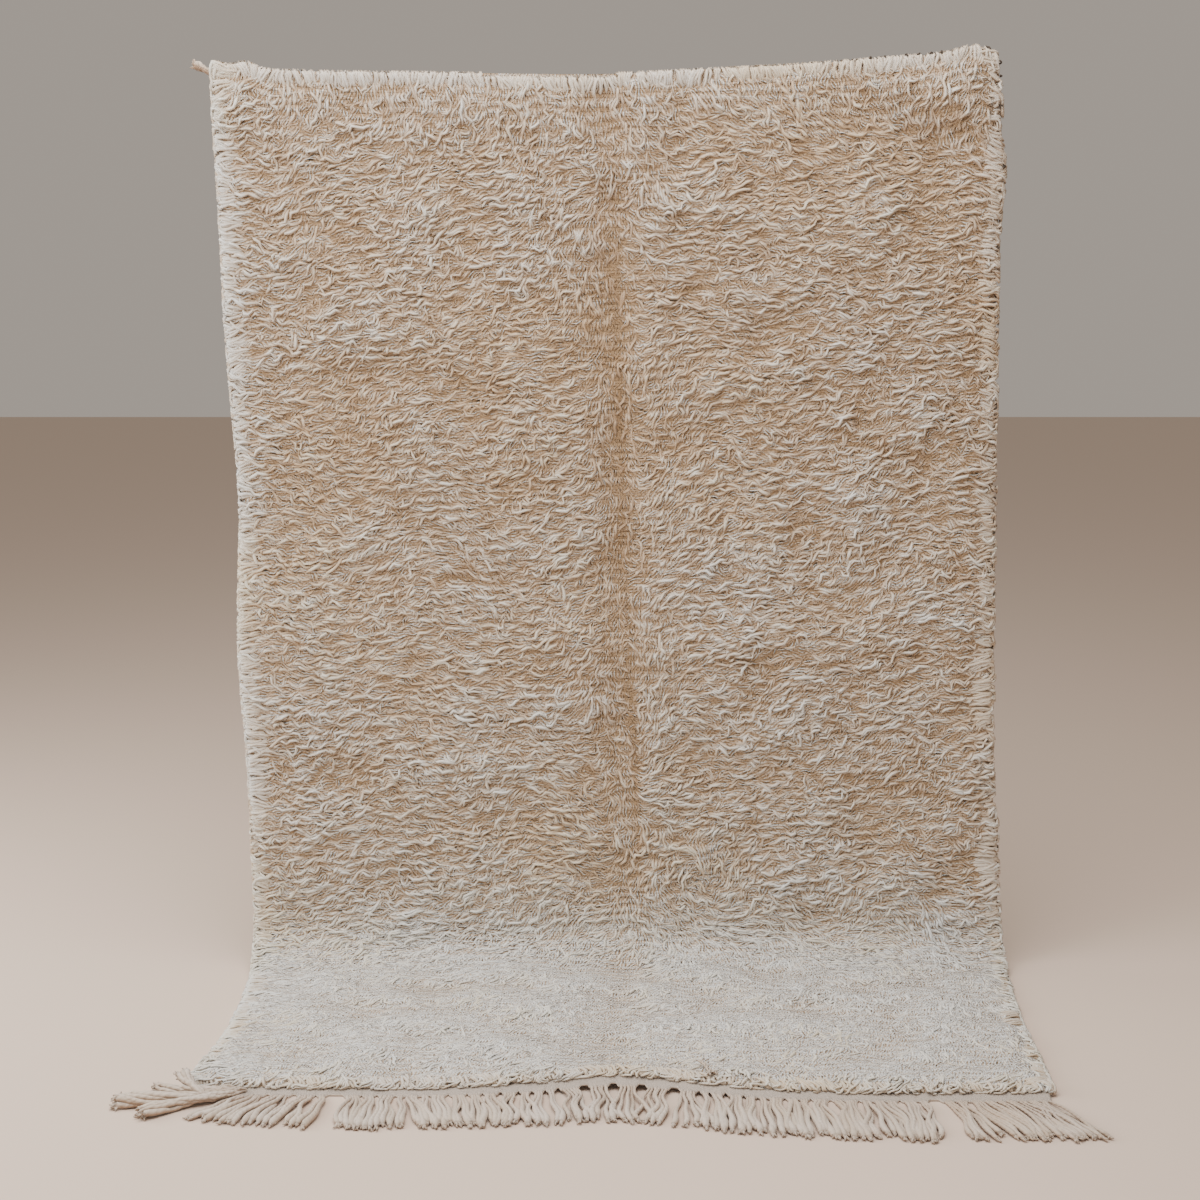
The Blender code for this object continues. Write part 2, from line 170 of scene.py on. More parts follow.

# The wool's colours from the feet of the pile to its tips, with the tone at which each one comes.
# The darker colours are painted shade, reached low in the pile, in its hollows and on the strands' sides.
PILE_DARK = (0.33, 0.22, 0.125)
PILE_DEEP = (0.42, 0.30, 0.20)
PILE_WARM = (0.60, 0.495, 0.39)
PILE_TIP = (0.725, 0.74, 0.735)
PILE_TONES = ((0.0, PILE_DARK), (0.26, PILE_DEEP), (0.54, PILE_WARM), (0.94, PILE_TIP))
PILE_YELLOW = (1.0, 0.93, 0.80)     # blotches, multiplied with it
WHITE = (1.0, 1.0, 1.0)
TALL_PILE = 0.021           # this high over the ground the tone is higher by TALL_TONE: painted shade, deeper the lower the wool lies
TALL_TONE = 0.42
PARTED_PAINTED_SHADE = 0.8           # painted shade: what a full parting takes off the tone
# Painted shade on the packed feet between the strands:
FEET_PAINTED_SHADE = -0.12
LYING_PAINTED_LIGHT = 0.42          # painted light on the part lying on the floor, which faces the light from above
LEFT_PAINTED_LIGHT = 0.20           # painted light along the upper left selvedge, which faces the light from the left
RIGHT_PAINTED_SHADE = 0.07         # painted shade along the right selvedge, further from the light
UPPER_DEEPER = 0.11
# Painted light on the rims of the pile, fading over the next reach inwards:
RIM_PALER = 0.26
RIM_PALER_REACH = 0.035
TUFT_SIZE = 0.055
TUFT_STRETCH = 1.5          # a tuft's width to its height
TUFT_PAINTED_SHADE = 0.055          # painted shade: how much paler the middle of a tuft is than its hollows
TUFT_SWELL = 0.06
ROW_HEIGHT = 0.019          # between the wavy ridges in which the knotted rows lie
# Painted shade in the grooves between the rows' ridges, painted light on their tops:
ROW_PAINTED_SHADE = 0.18
ROW_SWELL = 0.26
ROW_DRIFTS = ((2.6, 0.15, 5), (1.0, 0.05, 6))   # how far ridges drift in radians, over what length, seed

GROUND_THICK = 0.006
GROUND_CELLS = (100, 160)
PACKED_SHARE = 0.73         # of the pile's height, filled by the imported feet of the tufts
PACKED_RIM = (-0.004, 0.02)     # where from the rim inwards the feet begin and reach their height
LYING_PACKED = 0.25         # how much higher they are on the floor
LOCK_PITCH = 0.0058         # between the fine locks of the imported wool
LOCK_SCALE = 90.0
LOCK_DEPTH = 2.6            # of a lock, in tones: painted shade between the locks, painted light on them
KNOT_PITCH = 0.008
ROW_PITCH = 0.0065
WEFT_THICK = 0.0011
GROUND_DARK = (0.30, 0.215, 0.135)
GROUND_LIGHT = (0.62, 0.53, 0.40)
GROUND_PALE = (0.70, 0.62, 0.50)
GROUND_CLOUD = (0.80, 0.77, 0.72)


def smooth_step(low, high, at):
    """Rises from 0 at low to 1 at high."""
    t = np.clip((at - low) / (high - low), 0.0, 1.0)
    return t * t * (3 - 2 * t)


def read_table(table, column, at):
    """Reads a column of a table on a smooth curve through its rows; the first column is the place."""
    places = table[:, 0]
    values = table[:, column]
    slopes = np.gradient(values, places)
    row = np.clip(np.searchsorted(places, at) - 1, 0, len(places) - 2)
    span = places[row + 1] - places[row]
    t = np.clip((at - places[row]) / span, 0.0, 1.0)
    start = values[row] * (1 + 2 * t) + slopes[row] * span * t
    end = values[row + 1] * (3 - 2 * t) + slopes[row + 1] * span * (t - 1)
    return start * (1 - t) ** 2 + end * t ** 2


def soft_ovals(rows, across, down, wobble=0.0):
    """Adds up soft ovals: centre across and down, reach across and down, turn, and height of each."""
    total = np.zeros(np.shape(across))
    for centre_across, centre_down, reach_across, reach_down, turn, height in rows:
        x = across - centre_across
        y = down - centre_down + wobble * np.sin(x / WOBBLE_LENGTH)
        along = x * math.cos(turn) - y * math.sin(turn)
        beside = x * math.sin(turn) + y * math.cos(turn)
        total += height * np.exp(-((along / reach_across) ** 2) - (beside / reach_down) ** 2)
    return total


def fold_push(across, down):
    """How far the cloth stands to the front in its soft folds; none at its held top and near the floor."""
    push = soft_ovals(FOLDS, across, down) * smooth_step(0.0, 0.10, down)
    return push * (1 - smooth_step(STRAIGHT_LENGTH - 0.30, STRAIGHT_LENGTH - 0.02, down))


def hang(points):
    """Takes points of the flat rug to where it hangs: across, up (minus the distance down), over its back."""
    across = points[..., 0]
    down = -points[..., 1]
    share = down / FIELD_LENGTH
    rise = read_table(TOP_EDGE, 1, across) * np.clip(1 - share, 0, None) ** 3
    reach = read_table(FRONT_EDGE, 1, across) * smooth_step(0.75, 1.0, share)
    along = down - rise + reach
    angle = np.clip((along - STRAIGHT_LENGTH) / BEND_RADIUS, 0, math.pi / 2)
    run = np.clip(along - STRAIGHT_LENGTH - BEND_LENGTH, 0, None)
    out = points[..., 2] + fold_push(across, down)
    lift = read_table(FRONT_EDGE, 2, across) * smooth_step(FIELD_LENGTH - FRONT_CURL, FIELD_LENGTH, down)
    left = read_table(SIDE_EDGES, 1, down)
    right = read_table(SIDE_EDGES, 2, down)
    x = (left + right) / 2 + across * (right - left) / WIDTH + MIDDLE_X
    y = HANG_Y - BEND_RADIUS * (1 - np.cos(angle)) - run - np.cos(angle) * out
    z = TOP_Z - np.minimum(along, STRAIGHT_LENGTH) - BEND_RADIUS * np.sin(angle) + np.sin(angle) * out + lift
    return np.stack((x, y, z), axis=-1)


def parted(across, down):
    """The share of its height that the pile loses in its partings."""
    return soft_ovals(PARTINGS, across, down, PARTING_WOBBLE)


def pile_height(across, down):
    """How high the pile stands on its ground at a place, in the solid's own lumps."""
    lump = noise.noise(Vector((across, down, 0.0)) / LUMP_SIZE)
    lump += FLAT_LUMP_SHARE * noise.noise(Vector((across, FLAT_LUMP_RATIO * down, WIDTH)) / LUMP_SIZE)
    crease = CREASE_DEPTH * math.exp(-((across / CREASE_HALF_WIDTH) ** 2))
    height = PILE_DEPTH + LUMP_DEPTH * lump - crease
    from_rim = min(WIDTH / 2 - abs(across), down, FIELD_LENGTH - down)
    rim = RIM_SHARE + (1 - RIM_SHARE) * float(smooth_step(0.0, RIM_REACH, from_rim))
    return max(height, LEAST_PILE) * rim * (1 - PARTING_OPEN * float(parted(across, down)))


def waves(across, down, size, seed):
    """Waves of about that size that run every way: each one's way, and its height at each place."""
    draw = np.random.default_rng(seed)
    for _ in range(WAVES):
        way = draw.uniform(0, 2 * math.pi)
        pace = 2 * math.pi / (size * draw.uniform(0.7, 1.6))
        start = draw.uniform(0, 2 * math.pi)
        yield way, np.sin(pace * (across * math.cos(way) + down * math.sin(way)) + start)


def uneven(across, down, size, seed):
    """A smooth uneven field of about -1 to 1."""
    return sum(wave for way, wave in waves(across, down, size, seed)) / math.sqrt(WAVES / 2)


def whorls(across, down, size, seed):
    """Sideways and downward parts of a swirling field that neither gathers nor parts the strands."""
    swirl_across = np.zeros(np.shape(across))
    swirl_down = np.zeros(np.shape(across))
    for way, wave in waves(across, down, size, seed):
        swirl_across += wave * math.sin(way)
        swirl_down -= wave * math.cos(way)
    return swirl_across / math.sqrt(WAVES / 2), swirl_down / math.sqrt(WAVES / 2)


def lie_of_pile(across, down):
    """The angle from plumb to the right at which the pile lies at a place."""
    pull_across, pull_down = whorls(across, down, WHORL_SIZE, 1)
    pull_across *= WHORL_STRENGTH
    pull_down *= WHORL_STRENGTH
    for centre_across, centre_down, reach_across, reach_down, degrees, strength in SWEEPS:
        near = ((across - centre_across) / reach_across) ** 2 + ((down - centre_down) / reach_down) ** 2
        pull = strength * np.exp(-near)
        pull_across += pull * math.sin(math.radians(degrees))
        pull_down += pull * math.cos(math.radians(degrees))
    return np.arctan2(pull_across, pull_down) + WRIGGLE_ANGLE * uneven(across, down, WRIGGLE_SIZE, 3)


def tufts(across, down):
    """About -1 in the hollows between the pile's tufts to 1 on their tops."""
    return uneven(across, TUFT_STRETCH * down, TUFT_SIZE, 8)


def row_shift(across, down):
    """How far the wavy ridges of the rows run out of step at a place, in radians."""
    return sum(drift * uneven(across, down, size, seed) for drift, size, seed in ROW_DRIFTS)


def rows_of_pile(across, down):
    """-1 in the grooves between the rows' ridges to 1 on their tops."""
    return np.sin(2 * math.pi * down / ROW_HEIGHT + row_shift(across, down))


def pile_tone(across, down):
    """How much paler the pile is at a place than elsewhere; deeper where this is below zero.
    Painted light on the floor, along the upper left selvedge and at the rims; painted shade along the right
    selvedge and in the tufts' hollows.
    """
    lying = smooth_step(STRAIGHT_LENGTH - 0.10, STRAIGHT_LENGTH + 0.05, down)
    from_rim = np.minimum(WIDTH / 2 - np.abs(across), down)
    tone = LEFT_PAINTED_LIGHT * smooth_step(0.67, 0.75, -across) * (1 - smooth_step(1.1, 1.6, down))
    tone -= RIGHT_PAINTED_SHADE * smooth_step(0.58, 0.74, across) * (1 - lying)
    tone -= UPPER_DEEPER * smooth_step(-0.02, 0.12, down) * (1 - smooth_step(0.6, 1.1, down))
    tone += LYING_PAINTED_LIGHT * smooth_step(STRAIGHT_LENGTH - 0.15, STRAIGHT_LENGTH + 0.13, down)
    tone += RIM_PALER * (1 - smooth_step(0.0, RIM_PALER_REACH, from_rim))
    return tone + TUFT_PAINTED_SHADE * (1 - 0.6 * lying) * tufts(across, down)


def flat_cloth(cells, width, start, end, height_at):
    """A flat closed cloth, x across it and y from start to end, its upper face as high as height_at says."""
    bm = bmesh.new()
    bmesh.ops.create_grid(bm, x_segments=cells[0], y_segments=cells[1], size=0.5)
    bmesh.ops.scale(bm, verts=bm.verts, vec=(width, end - start, 1))
    bmesh.ops.translate(bm, verts=bm.verts, vec=(0, (start + end) / 2, 0))
    raised = bmesh.ops.extrude_face_region(bm, geom=list(bm.faces))["geom"]
    for vert in [part for part in raised if isinstance(part, bmesh.types.BMVert)]:
        vert.co.z = height_at(vert.co.x, vert.co.y)

    # The extrusion leaves the side walls in a new order each time, so they are put in order.
    bm.verts.index_update()
    bm.faces.index_update()
    first_wall = 2 * cells[0] * cells[1]
    walls = sorted(list(bm.faces)[first_wall:], key=lambda wall: sorted(vert.index for vert in wall.verts))
    for index, wall in enumerate(walls, first_wall):
        wall.index = index
    bm.faces.sort()
    flat_uv = bm.loops.layers.uv.new("flat")
    for face in bm.faces:
        for loop in face.loops:
            loop[flat_uv].uv = loop.vert.co.xy
    return bm


def places_of(template):
    """The places of a bmesh's corners as an array."""
    return np.array([vert.co for vert in template.verts])


def finish_mesh(name, bm):
    """A smooth mesh of what the bmesh holds."""
    mesh = bpy.data.meshes.new(name)
    bm.to_mesh(mesh)
    bm.free()
    mesh.shade_smooth()
    return mesh


def lay_cloth(name, bm, places):
    """Moves a flat cloth's corners to their places and makes its mesh."""
    for vert, place in zip(bm.verts, places):
        vert.co = place
    bmesh.ops.recalc_face_normals(bm, faces=bm.faces)
    return finish_mesh(name, bm)


def set_point_value(mesh, name, values):
    """Stores a number at each corner of a mesh."""
    attribute = mesh.attributes.new(name, "FLOAT", "POINT")
    attribute.data.foreach_set("value", np.asarray(values, np.float32).ravel())


def add_piece(name, mesh, material):
    """Makes an object of a finished mesh, riding on the rug's one body."""
    mesh.materials.append(material)
    piece = bpy.data.objects.new(name, mesh)
    bpy.context.scene.collection.objects.link(piece)
    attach(piece, "root")
    return piece


def set_inputs(tree, node, inputs):
    """Gives each input its value, or links it where the value is another node's output."""
    for name, value in inputs.items():
        if isinstance(value, bpy.types.NodeSocket):
            tree.links.new(value, node.inputs[name])
        else:
            node.inputs[name].default_value = value


def add_node(tree, kind, inputs, **settings):
    """Adds a node with its settings and inputs."""
    node = tree.nodes.new("ShaderNode" + kind)
    for name, value in settings.items():
        setattr(node, name, value)
    set_inputs(tree, node, inputs)
    return node


def maths(tree, operation, *terms):
    """One step of arithmetic on outputs and plain numbers."""
    return add_node(tree, "Math", dict(enumerate(terms)), operation=operation).outputs[0]


def stored_value(tree, name):
    """A number that the mesh holds at each corner."""
    return add_node(tree, "Attribute", {}, attribute_name=name).outputs["Fac"]


def multiplied(tree, first, second):
    """The product of two colours."""
    inputs = {0: 1.0, 6: first, 7: second}
    return add_node(tree, "Mix", inputs, data_type="RGBA", blend_type="MULTIPLY").outputs[2]


def colour_ramp(tree, factor, stops):
    """The colour at a factor on a ramp through stops of a place and a colour."""
    ramp = add_node(tree, "ValToRGB", {"Fac": factor})
    elements = ramp.color_ramp.elements
    while len(elements) < len(stops):
        elements.new(0.5)
    for element, (place, colour) in zip(elements, stops):
        element.position = place
        element.color = (*colour, 1.0)
    return ramp.outputs["Color"]


def relief(tree, height, distance, strength=1.0, over=None, invert=False):
    """The normal of a surface with that relief, over another relief where one is given."""
    inputs = {"Height": height, "Distance": distance, "Strength": strength}
    if over is not None:
        inputs["Normal"] = over
    return add_node(tree, "Bump", inputs, invert=invert).outputs["Normal"]


def noise_at(tree, place, scale, detail):
    """Cloudy noise read at a place."""
    return add_node(tree, "TexNoise", {"Vector": place, "Scale": scale, "Detail": detail})


def interlaced(tree, place, sizes, first, second, between):
    """A pattern of knots or crossing yarns: width, height and gap of each, two colours and the gap's."""
    width, height, gap = sizes
    return add_node(tree, "TexBrick", {
        "Vector": place,
        "Scale": 1.0,
        "Brick Width": width,
        "Row Height": height,
        "Mortar Size": gap,
        "Mortar Smooth": 1.0,
        "Color1": (*first, 1.0),
        "Color2": (*second, 1.0),
        "Mortar": (*between, 1.0),
    }, offset=0.5)


def new_material(name, roughness, sheen):
    """A matt woollen material; returns it with its node tree and shader."""
    material = bpy.data.materials.new(name)
    material.use_nodes = True
    tree = material.node_tree
    shader = tree.nodes["Principled BSDF"]
    set_inputs(tree, shader, {
        "Roughness": roughness,
        "Sheen Weight": sheen,
        "Sheen Roughness": 0.6,
        "Specular IOR Level": 0.15,
    })
    return material, tree, shader


def ground_material():
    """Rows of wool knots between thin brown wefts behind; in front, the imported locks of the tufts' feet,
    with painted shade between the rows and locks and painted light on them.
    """
    material, tree, shader = new_material("knotted_ground", 0.95, 0.1)
    flat = add_node(tree, "UVMap", {}, uv_map="flat").outputs["UV"]
    front = stored_value(tree, "front")

    bends = noise_at(tree, flat, 9.0, 4.0).outputs["Color"]
    bent = {0: bends, 1: (0.012, 0.012, 0.0), 2: flat}
    bent = add_node(tree, "VectorMath", bent, operation="MULTIPLY_ADD").outputs[0]
    sizes = (KNOT_PITCH, ROW_PITCH, WEFT_THICK)
    knots = interlaced(tree, bent, sizes, GROUND_LIGHT, GROUND_PALE, GROUND_DARK)
    cloud = noise_at(tree, flat, 3.0, 3.0).outputs["Fac"]
    cloud = colour_ramp(tree, cloud, ((0.35, GROUND_CLOUD), (0.65, WHITE)))
    knotted = multiplied(tree, knots.outputs["Color"], cloud)

    lie = maths(tree, "ARCTAN2", stored_value(tree, "lie_across"), stored_value(tree, "lie_down"))
    locks = add_node(tree, "TexGabor", {
        "Vector": flat,
        "Scale": LOCK_SCALE,
        "Frequency": 1 / (LOCK_SCALE * LOCK_PITCH),
        "Anisotropy": 0.93,
        "Orientation": lie,
    }).outputs["Value"]
    down = {0: flat, 1: (0.0, -2 * math.pi / ROW_HEIGHT, 0.0)}
    down = add_node(tree, "VectorMath", down, operation="DOT_PRODUCT").outputs["Value"]
    # The front's tone: painted shade low in the pile and in the grooves between rows and locks, painted light
    # on their tops.
    rows = maths(tree, "SINE", maths(tree, "ADD", down, stored_value(tree, "row_shift")))
    tone = maths(tree, "ADD", stored_value(tree, "height"), -LOCK_DEPTH / 2)
    tone = maths(tree, "MULTIPLY_ADD", rows, ROW_PAINTED_SHADE, tone)
    tone = maths(tree, "MULTIPLY_ADD", locks, LOCK_DEPTH, tone)
    feet = {0: front, 6: knotted, 7: colour_ramp(tree, tone, PILE_TONES)}
    colour = add_node(tree, "Mix", feet, data_type="RGBA").outputs[2]

    normal = relief(tree, knots.outputs["Fac"], 0.0015, invert=True)
    normal = relief(tree, rows, 0.0015, front, normal)
    normal = relief(tree, locks, 0.006, front, normal)
    set_inputs(tree, shader, {"Base Color": colour, "Normal": normal})
    return material


def packed_height(x, y):
    """How high the ground's front face is on the flat rug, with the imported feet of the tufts."""
    from_rim = min(WIDTH / 2 - abs(x), -y, FIELD_LENGTH + y)
    lying = float(smooth_step(STRAIGHT_LENGTH, STRAIGHT_LENGTH + BEND_LENGTH, -y))
    packed = PACKED_SHARE * (1 + LYING_PACKED * lying) * pile_height(x, -y)
    packed *= 1 + TUFT_SWELL * float(tufts(x, -y))
    return GROUND_THICK + packed * float(smooth_step(*PACKED_RIM, from_rim))


bm = flat_cloth(GROUND_CELLS, WIDTH, -FIELD_LENGTH, 0, packed_height)
flat = places_of(bm)
across = flat[:, 0]
down = -flat[:, 1]
lie = lie_of_pile(across, down)
mesh = lay_cloth("knotted_ground", bm, hang(flat))
# The ground's front tone: painted shade low between the strands and in the partings, with pile_tone's painted
# light and shade.
tone = FEET_PAINTED_SHADE + TALL_TONE * flat[:, 2] / PACKED_SHARE / TALL_PILE
tone += pile_tone(across, down) - PARTED_PAINTED_SHADE * parted(across, down)
set_point_value(mesh, "front", flat[:, 2] > GROUND_THICK / 2)
set_point_value(mesh, "height", tone)
set_point_value(mesh, "lie_across", np.sin(lie))
set_point_value(mesh, "lie_down", np.cos(lie))
set_point_value(mesh, "row_shift", row_shift(across, down))
ground = add_piece("knotted_ground", mesh, ground_material())
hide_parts("pile_field")

# ----------------------------------------------------------------
# The pile. Long, soft, barely spun ivory wool, knotted in rows and left to lie as it was last combed: plumb
# under the top edge, outward at the selvedges, slanting on the right half, in whorls elsewhere.
# ----------------------------------------------------------------
PILE_BANDS = ("pile_top", "pile_upper", "pile_middle", "pile_lower", "pile_floor")
STRAND_TRIES = 150000
LAYERS = ((0.70, 0.80), (0.86, 1.0))      # each layer's lowest and highest share of the height
COVER_CELL = 0.00237        # of the grid that keeps a layer's strands apart
COVER_LIMIT = 0.40          # share of a strand that may lie over others of its layer
COVER_MARGIN = 0.1
TRACE_POINTS = 16           # of a strand, looked up on that grid
STRAND_SIDES = 4
STRAND_STEPS = 6
STRAND_LENGTH = (0.038, 0.066)
STRAND_HALF_WIDTH = 0.0034
STRAND_WIDTHS = (0.65, 1.10)        # the thinnest and the thickest, to that
STRAND_HALF_HEIGHT = 0.0029
STRAND_RUN = np.array((0.11, 0.19, 0.20, 0.20, 0.19, 0.11))           # each step's share of the length
STRAND_RISE = np.array((0.55, 0.88, 1.00, 1.00, 1.00, 0.90, 0.62))    # each ring's share of the height
STRAND_TAPER = np.array((0.0, 0.85, 1.00, 1.00, 1.00, 0.85, 0.0))
STRAND_MIDDLE = 2           # the ring whose place on the rug sets the height
STRAND_BEND = 0.09          # each strand's own turn at every step
STRAND_ROLL = 0.3
STRAND_TONE = 0.035
ROUND_TONE = 0.41           # how much paler a strand's top is than its middle: painted light on its top, painted shade on its sides
ODD_STRANDS = ((0.0, (0.86, 0.83, 0.78)), (0.5, (0.96, 0.96, 0.95)), (1.0, WHITE))
FIBRES = (220.0, 7.0, 1.0)      # to the metre along a strand, and round it
LEFT_REACH = 0.002          # how far strands may stand past each edge
TOP_REACH = 0.002
RIGHT_REACH = (0.0005, 0.005)
FRONT_REACH = (0.0015, 0.0065)
LOBE_SIZE = 0.07            # of the tufts in which they stand past the right selvedge
LOBE_REACH = 0.0016
LYING_CALM = 0.80           # how much more evenly the lying part's strands are pressed
LYING_LEVEL = 0.6           # how far their rise and fall is evened out where they are calm
LYING_FLATTER = 0.35
LEAST_HEIGHT = 0.003        # of a strand's middle line over the rug's back


def keep_to_rug(lines, draw):
    """Turns strands that would stand far past an edge of the flat rug down round it."""
    count = len(lines)
    lobes = 1 + uneven(0.0, -lines[:, :1, 1], LOBE_SIZE, 9)
    right_reach = draw.uniform(*RIGHT_REACH, (count, 1)) + LOBE_REACH * np.clip(lobes, 0, None)
    front_reach = draw.uniform(*FRONT_REACH, (count, 1))
    for axis, way, edge, reach, sink in (
        (0, -1, WIDTH / 2, LEFT_REACH, 0.9),
        (0, 1, WIDTH / 2, right_reach, 0.5),
        (1, 1, 0, TOP_REACH, 0.7),
        (1, -1, FIELD_LENGTH, front_reach, 0.4),
    ):
        over = np.clip(way * lines[..., axis] - edge, 0, None)
        lines[..., axis] -= way * (over - reach * np.tanh(over / reach))
        lines[..., 2] -= sink * over
    lines[..., 2] = np.maximum(lines[..., 2], np.where(over > 0, GROUND_THICK + 0.001, LEAST_HEIGHT))


def yarn_template(sides, steps, pointed=False):
    """One yarn as a closed tube: a unit circle round it, its rings one unit apart up Z."""
    bm = bmesh.new()
    bmesh.ops.create_cone(bm, cap_ends=not pointed, segments=sides, radius1=1, radius2=1, depth=steps)
    upright = [edge for edge in bm.edges if abs(edge.verts[0].co.z - edge.verts[1].co.z) > 0.5]
    bmesh.ops.subdivide_edges(bm, edges=upright, cuts=steps - 1)
    bmesh.ops.translate(bm, verts=bm.verts, vec=(0, 0, steps / 2))
    if pointed:
        for end in (0, steps):
            ring = [vert for vert in bm.verts if abs(vert.co.z - end) < 0.1]
            bmesh.ops.pointmerge(bm, verts=ring, merge_co=(0, 0, end))
    bm.verts.ensure_lookup_table()
    bm.faces.ensure_lookup_table()
    return bm


def rings_of(template):
    """The ring that each corner of a template is on, counted from its root."""
    return np.rint(places_of(template)[:, 2]).astype(int)


def clothe_lines(template, lines, half_widths, half_heights, rolls, up=(0, 0, 1)):
    """Lays a template's corners round each middle line; returns the corners of every copy."""
    corners = places_of(template)
    ring = rings_of(template)
    round_angle = np.arctan2(corners[:, 1], corners[:, 0]) + rolls[:, None]
    ahead = np.gradient(lines, axis=1)
    ahead /= np.linalg.norm(ahead, axis=2, keepdims=True)
    side = np.cross(np.array(up, float), ahead)
    side /= np.maximum(np.linalg.norm(side, axis=2, keepdims=True), 1e-9)
    lift = np.cross(ahead, side)
    beside = side[:, ring] * (np.cos(round_angle) * half_widths[:, ring])[..., None]
    above = lift[:, ring] * (np.sin(round_angle) * half_heights[:, ring])[..., None]
    return lines[:, ring] + beside + above


def join_copies(name, template, corners, lengths):
    """Makes one smooth mesh of all copies of a template, with a UV that runs along each yarn in metres."""
    count, size = corners.shape[:2]
    steps = max(vert.co.z for vert in template.verts)
    loops = []
    along = []
    starts = []
    for face in template.faces:
        starts.append(len(loops))
        middle = face.calc_center_median()
        for vert in face.verts:
            at_pole = vert.co.xy.length < 0.1
            turn = 0 if at_pole else math.atan2(vert.co.y, vert.co.x) - math.atan2(middle.y, middle.x)
            turn = (turn + math.pi) % (2 * math.pi) - math.pi
            around = (math.atan2(middle.y, middle.x) + turn) / (2 * math.pi)
            loops.append(vert.index)
            along.append((vert.co.z / steps, around))
    copies = np.arange(count)[:, None]
    mesh = bpy.data.meshes.new(name)
    mesh.vertices.add(count * size)
    mesh.vertices.foreach_set("co", corners.astype(np.float32).ravel())
    mesh.loops.add(count * len(loops))
    mesh.loops.foreach_set("vertex_index", (np.array(loops) + size * copies).ravel())
    mesh.polygons.add(count * len(starts))
    mesh.polygons.foreach_set("loop_start", (np.array(starts) + len(loops) * copies).ravel())
    mesh.update(calc_edges=True)
    uv = np.tile(np.array(along), (count, 1, 1))
    uv[..., 0] *= lengths[:, None]
    layer = mesh.uv_layers.new(name="yarn")
    layer.data.foreach_set("uv", uv.astype(np.float32).ravel())
    mesh.shade_smooth()
    return mesh


def tone_copies(mesh, tones, draw):
    """Gives every corner its tone of painted light and shade, and every copy an odd number of its own."""
    count, size = tones.shape
    set_point_value(mesh, "height", tones)
    set_point_value(mesh, "odd", np.repeat(draw.uniform(0, 1, count), size))


def wool_material(name, stops, blotch_colour, fibre_relief, twist_pitch=None):
    """Soft wool, coloured by each corner's tone of painted light and shade, with blotches, odd strands,
    fibres and perhaps a twist.
    """
    material, tree, shader = new_material(name, 0.92, 0.3)
    place = add_node(tree, "TexCoord", {}).outputs["Object"]
    blotches = noise_at(tree, place, 4.0, 3.0).outputs["Fac"]
    blotches = colour_ramp(tree, blotches, ((0.40, WHITE), (0.68, blotch_colour)))
    odd = colour_ramp(tree, stored_value(tree, "odd"), ODD_STRANDS)
    colour = colour_ramp(tree, stored_value(tree, "height"), stops)
    colour = multiplied(tree, multiplied(tree, colour, blotches), odd)

    yarn = add_node(tree, "UVMap", {}, uv_map="yarn").outputs["UV"]
    stretched = add_node(tree, "Mapping", {"Vector": yarn, "Scale": FIBRES})
    fibres = noise_at(tree, stretched.outputs["Vector"], 1.0, 3.0).outputs["Fac"]
    twist = None
    if twist_pitch:
        slant = {0: yarn, 1: (2 * math.pi / twist_pitch, 4 * math.pi, 0.0)}
        slant = add_node(tree, "VectorMath", slant, operation="DOT_PRODUCT").outputs["Value"]
        twist = relief(tree, maths(tree, "SINE", slant), 0.0004)
    normal = relief(tree, fibres, fibre_relief, 0.8, twist)
    set_inputs(tree, shader, {"Base Color": colour, "Normal": normal})
    return material


pile_wool = wool_material("ivory_pile", PILE_TONES, PILE_YELLOW, 0.0012)
draw = np.random.default_rng(20)
across = WIDTH * draw.uniform(-0.497, 0.497, STRAND_TRIES)
down = FIELD_LENGTH * draw.uniform(0.002, 0.998, STRAND_TRIES)
length = draw.uniform(*STRAND_LENGTH, STRAND_TRIES)
bend = draw.normal(0, STRAND_BEND, STRAND_TRIES)
lines = np.zeros((STRAND_TRIES, STRAND_STEPS + 1, 3))
for ring in range(STRAND_STEPS + 1):
    lines[:, ring, 0] = across
    lines[:, ring, 1] = -down
    if ring < STRAND_STEPS:
        angle = lie_of_pile(across, down) + bend * (ring - 1)
        across = across + length * STRAND_RUN[ring] * np.sin(angle)
        down = down + length * STRAND_RUN[ring] * np.cos(angle)

# Lays each strand only where it covers few others of its layer, so that each layer is an even blanket.
between = np.linspace(0, STRAND_STEPS, TRACE_POINTS)
low = np.minimum(between.astype(int), STRAND_STEPS - 1)
part = (between - low)[:, None]
traced = lines[:, low, :2] * (1 - part) + lines[:, low + 1, :2] * part
columns = int((WIDTH + 2 * COVER_MARGIN) / COVER_CELL)
rows = int((FIELD_LENGTH + 2 * COVER_MARGIN) / COVER_CELL)
column = ((traced[..., 0] + WIDTH / 2 + COVER_MARGIN) / COVER_CELL).astype(int)
row = ((COVER_MARGIN - traced[..., 1]) / COVER_CELL).astype(int)
cells = row * columns + column
stamp = (np.arange(-1, 2)[:, None] * columns + np.arange(-1, 2)).ravel()
chosen = []
waiting = np.arange(STRAND_TRIES)
for layer in range(len(LAYERS)):
    covered = np.zeros(rows * columns, bool)
    left_over = []
    for index in waiting:
        if covered[cells[index]].mean() < COVER_LIMIT:
            covered[cells[index][:, None] + stamp] = True
            chosen.append((index, layer))
        else:
            left_over.append(index)
    waiting = np.array(left_over)
chosen, layer_of = np.array(chosen).T
order = np.argsort(-lines[chosen, 0, 1], kind="stable")
chosen = chosen[order]
layer_of = layer_of[order]

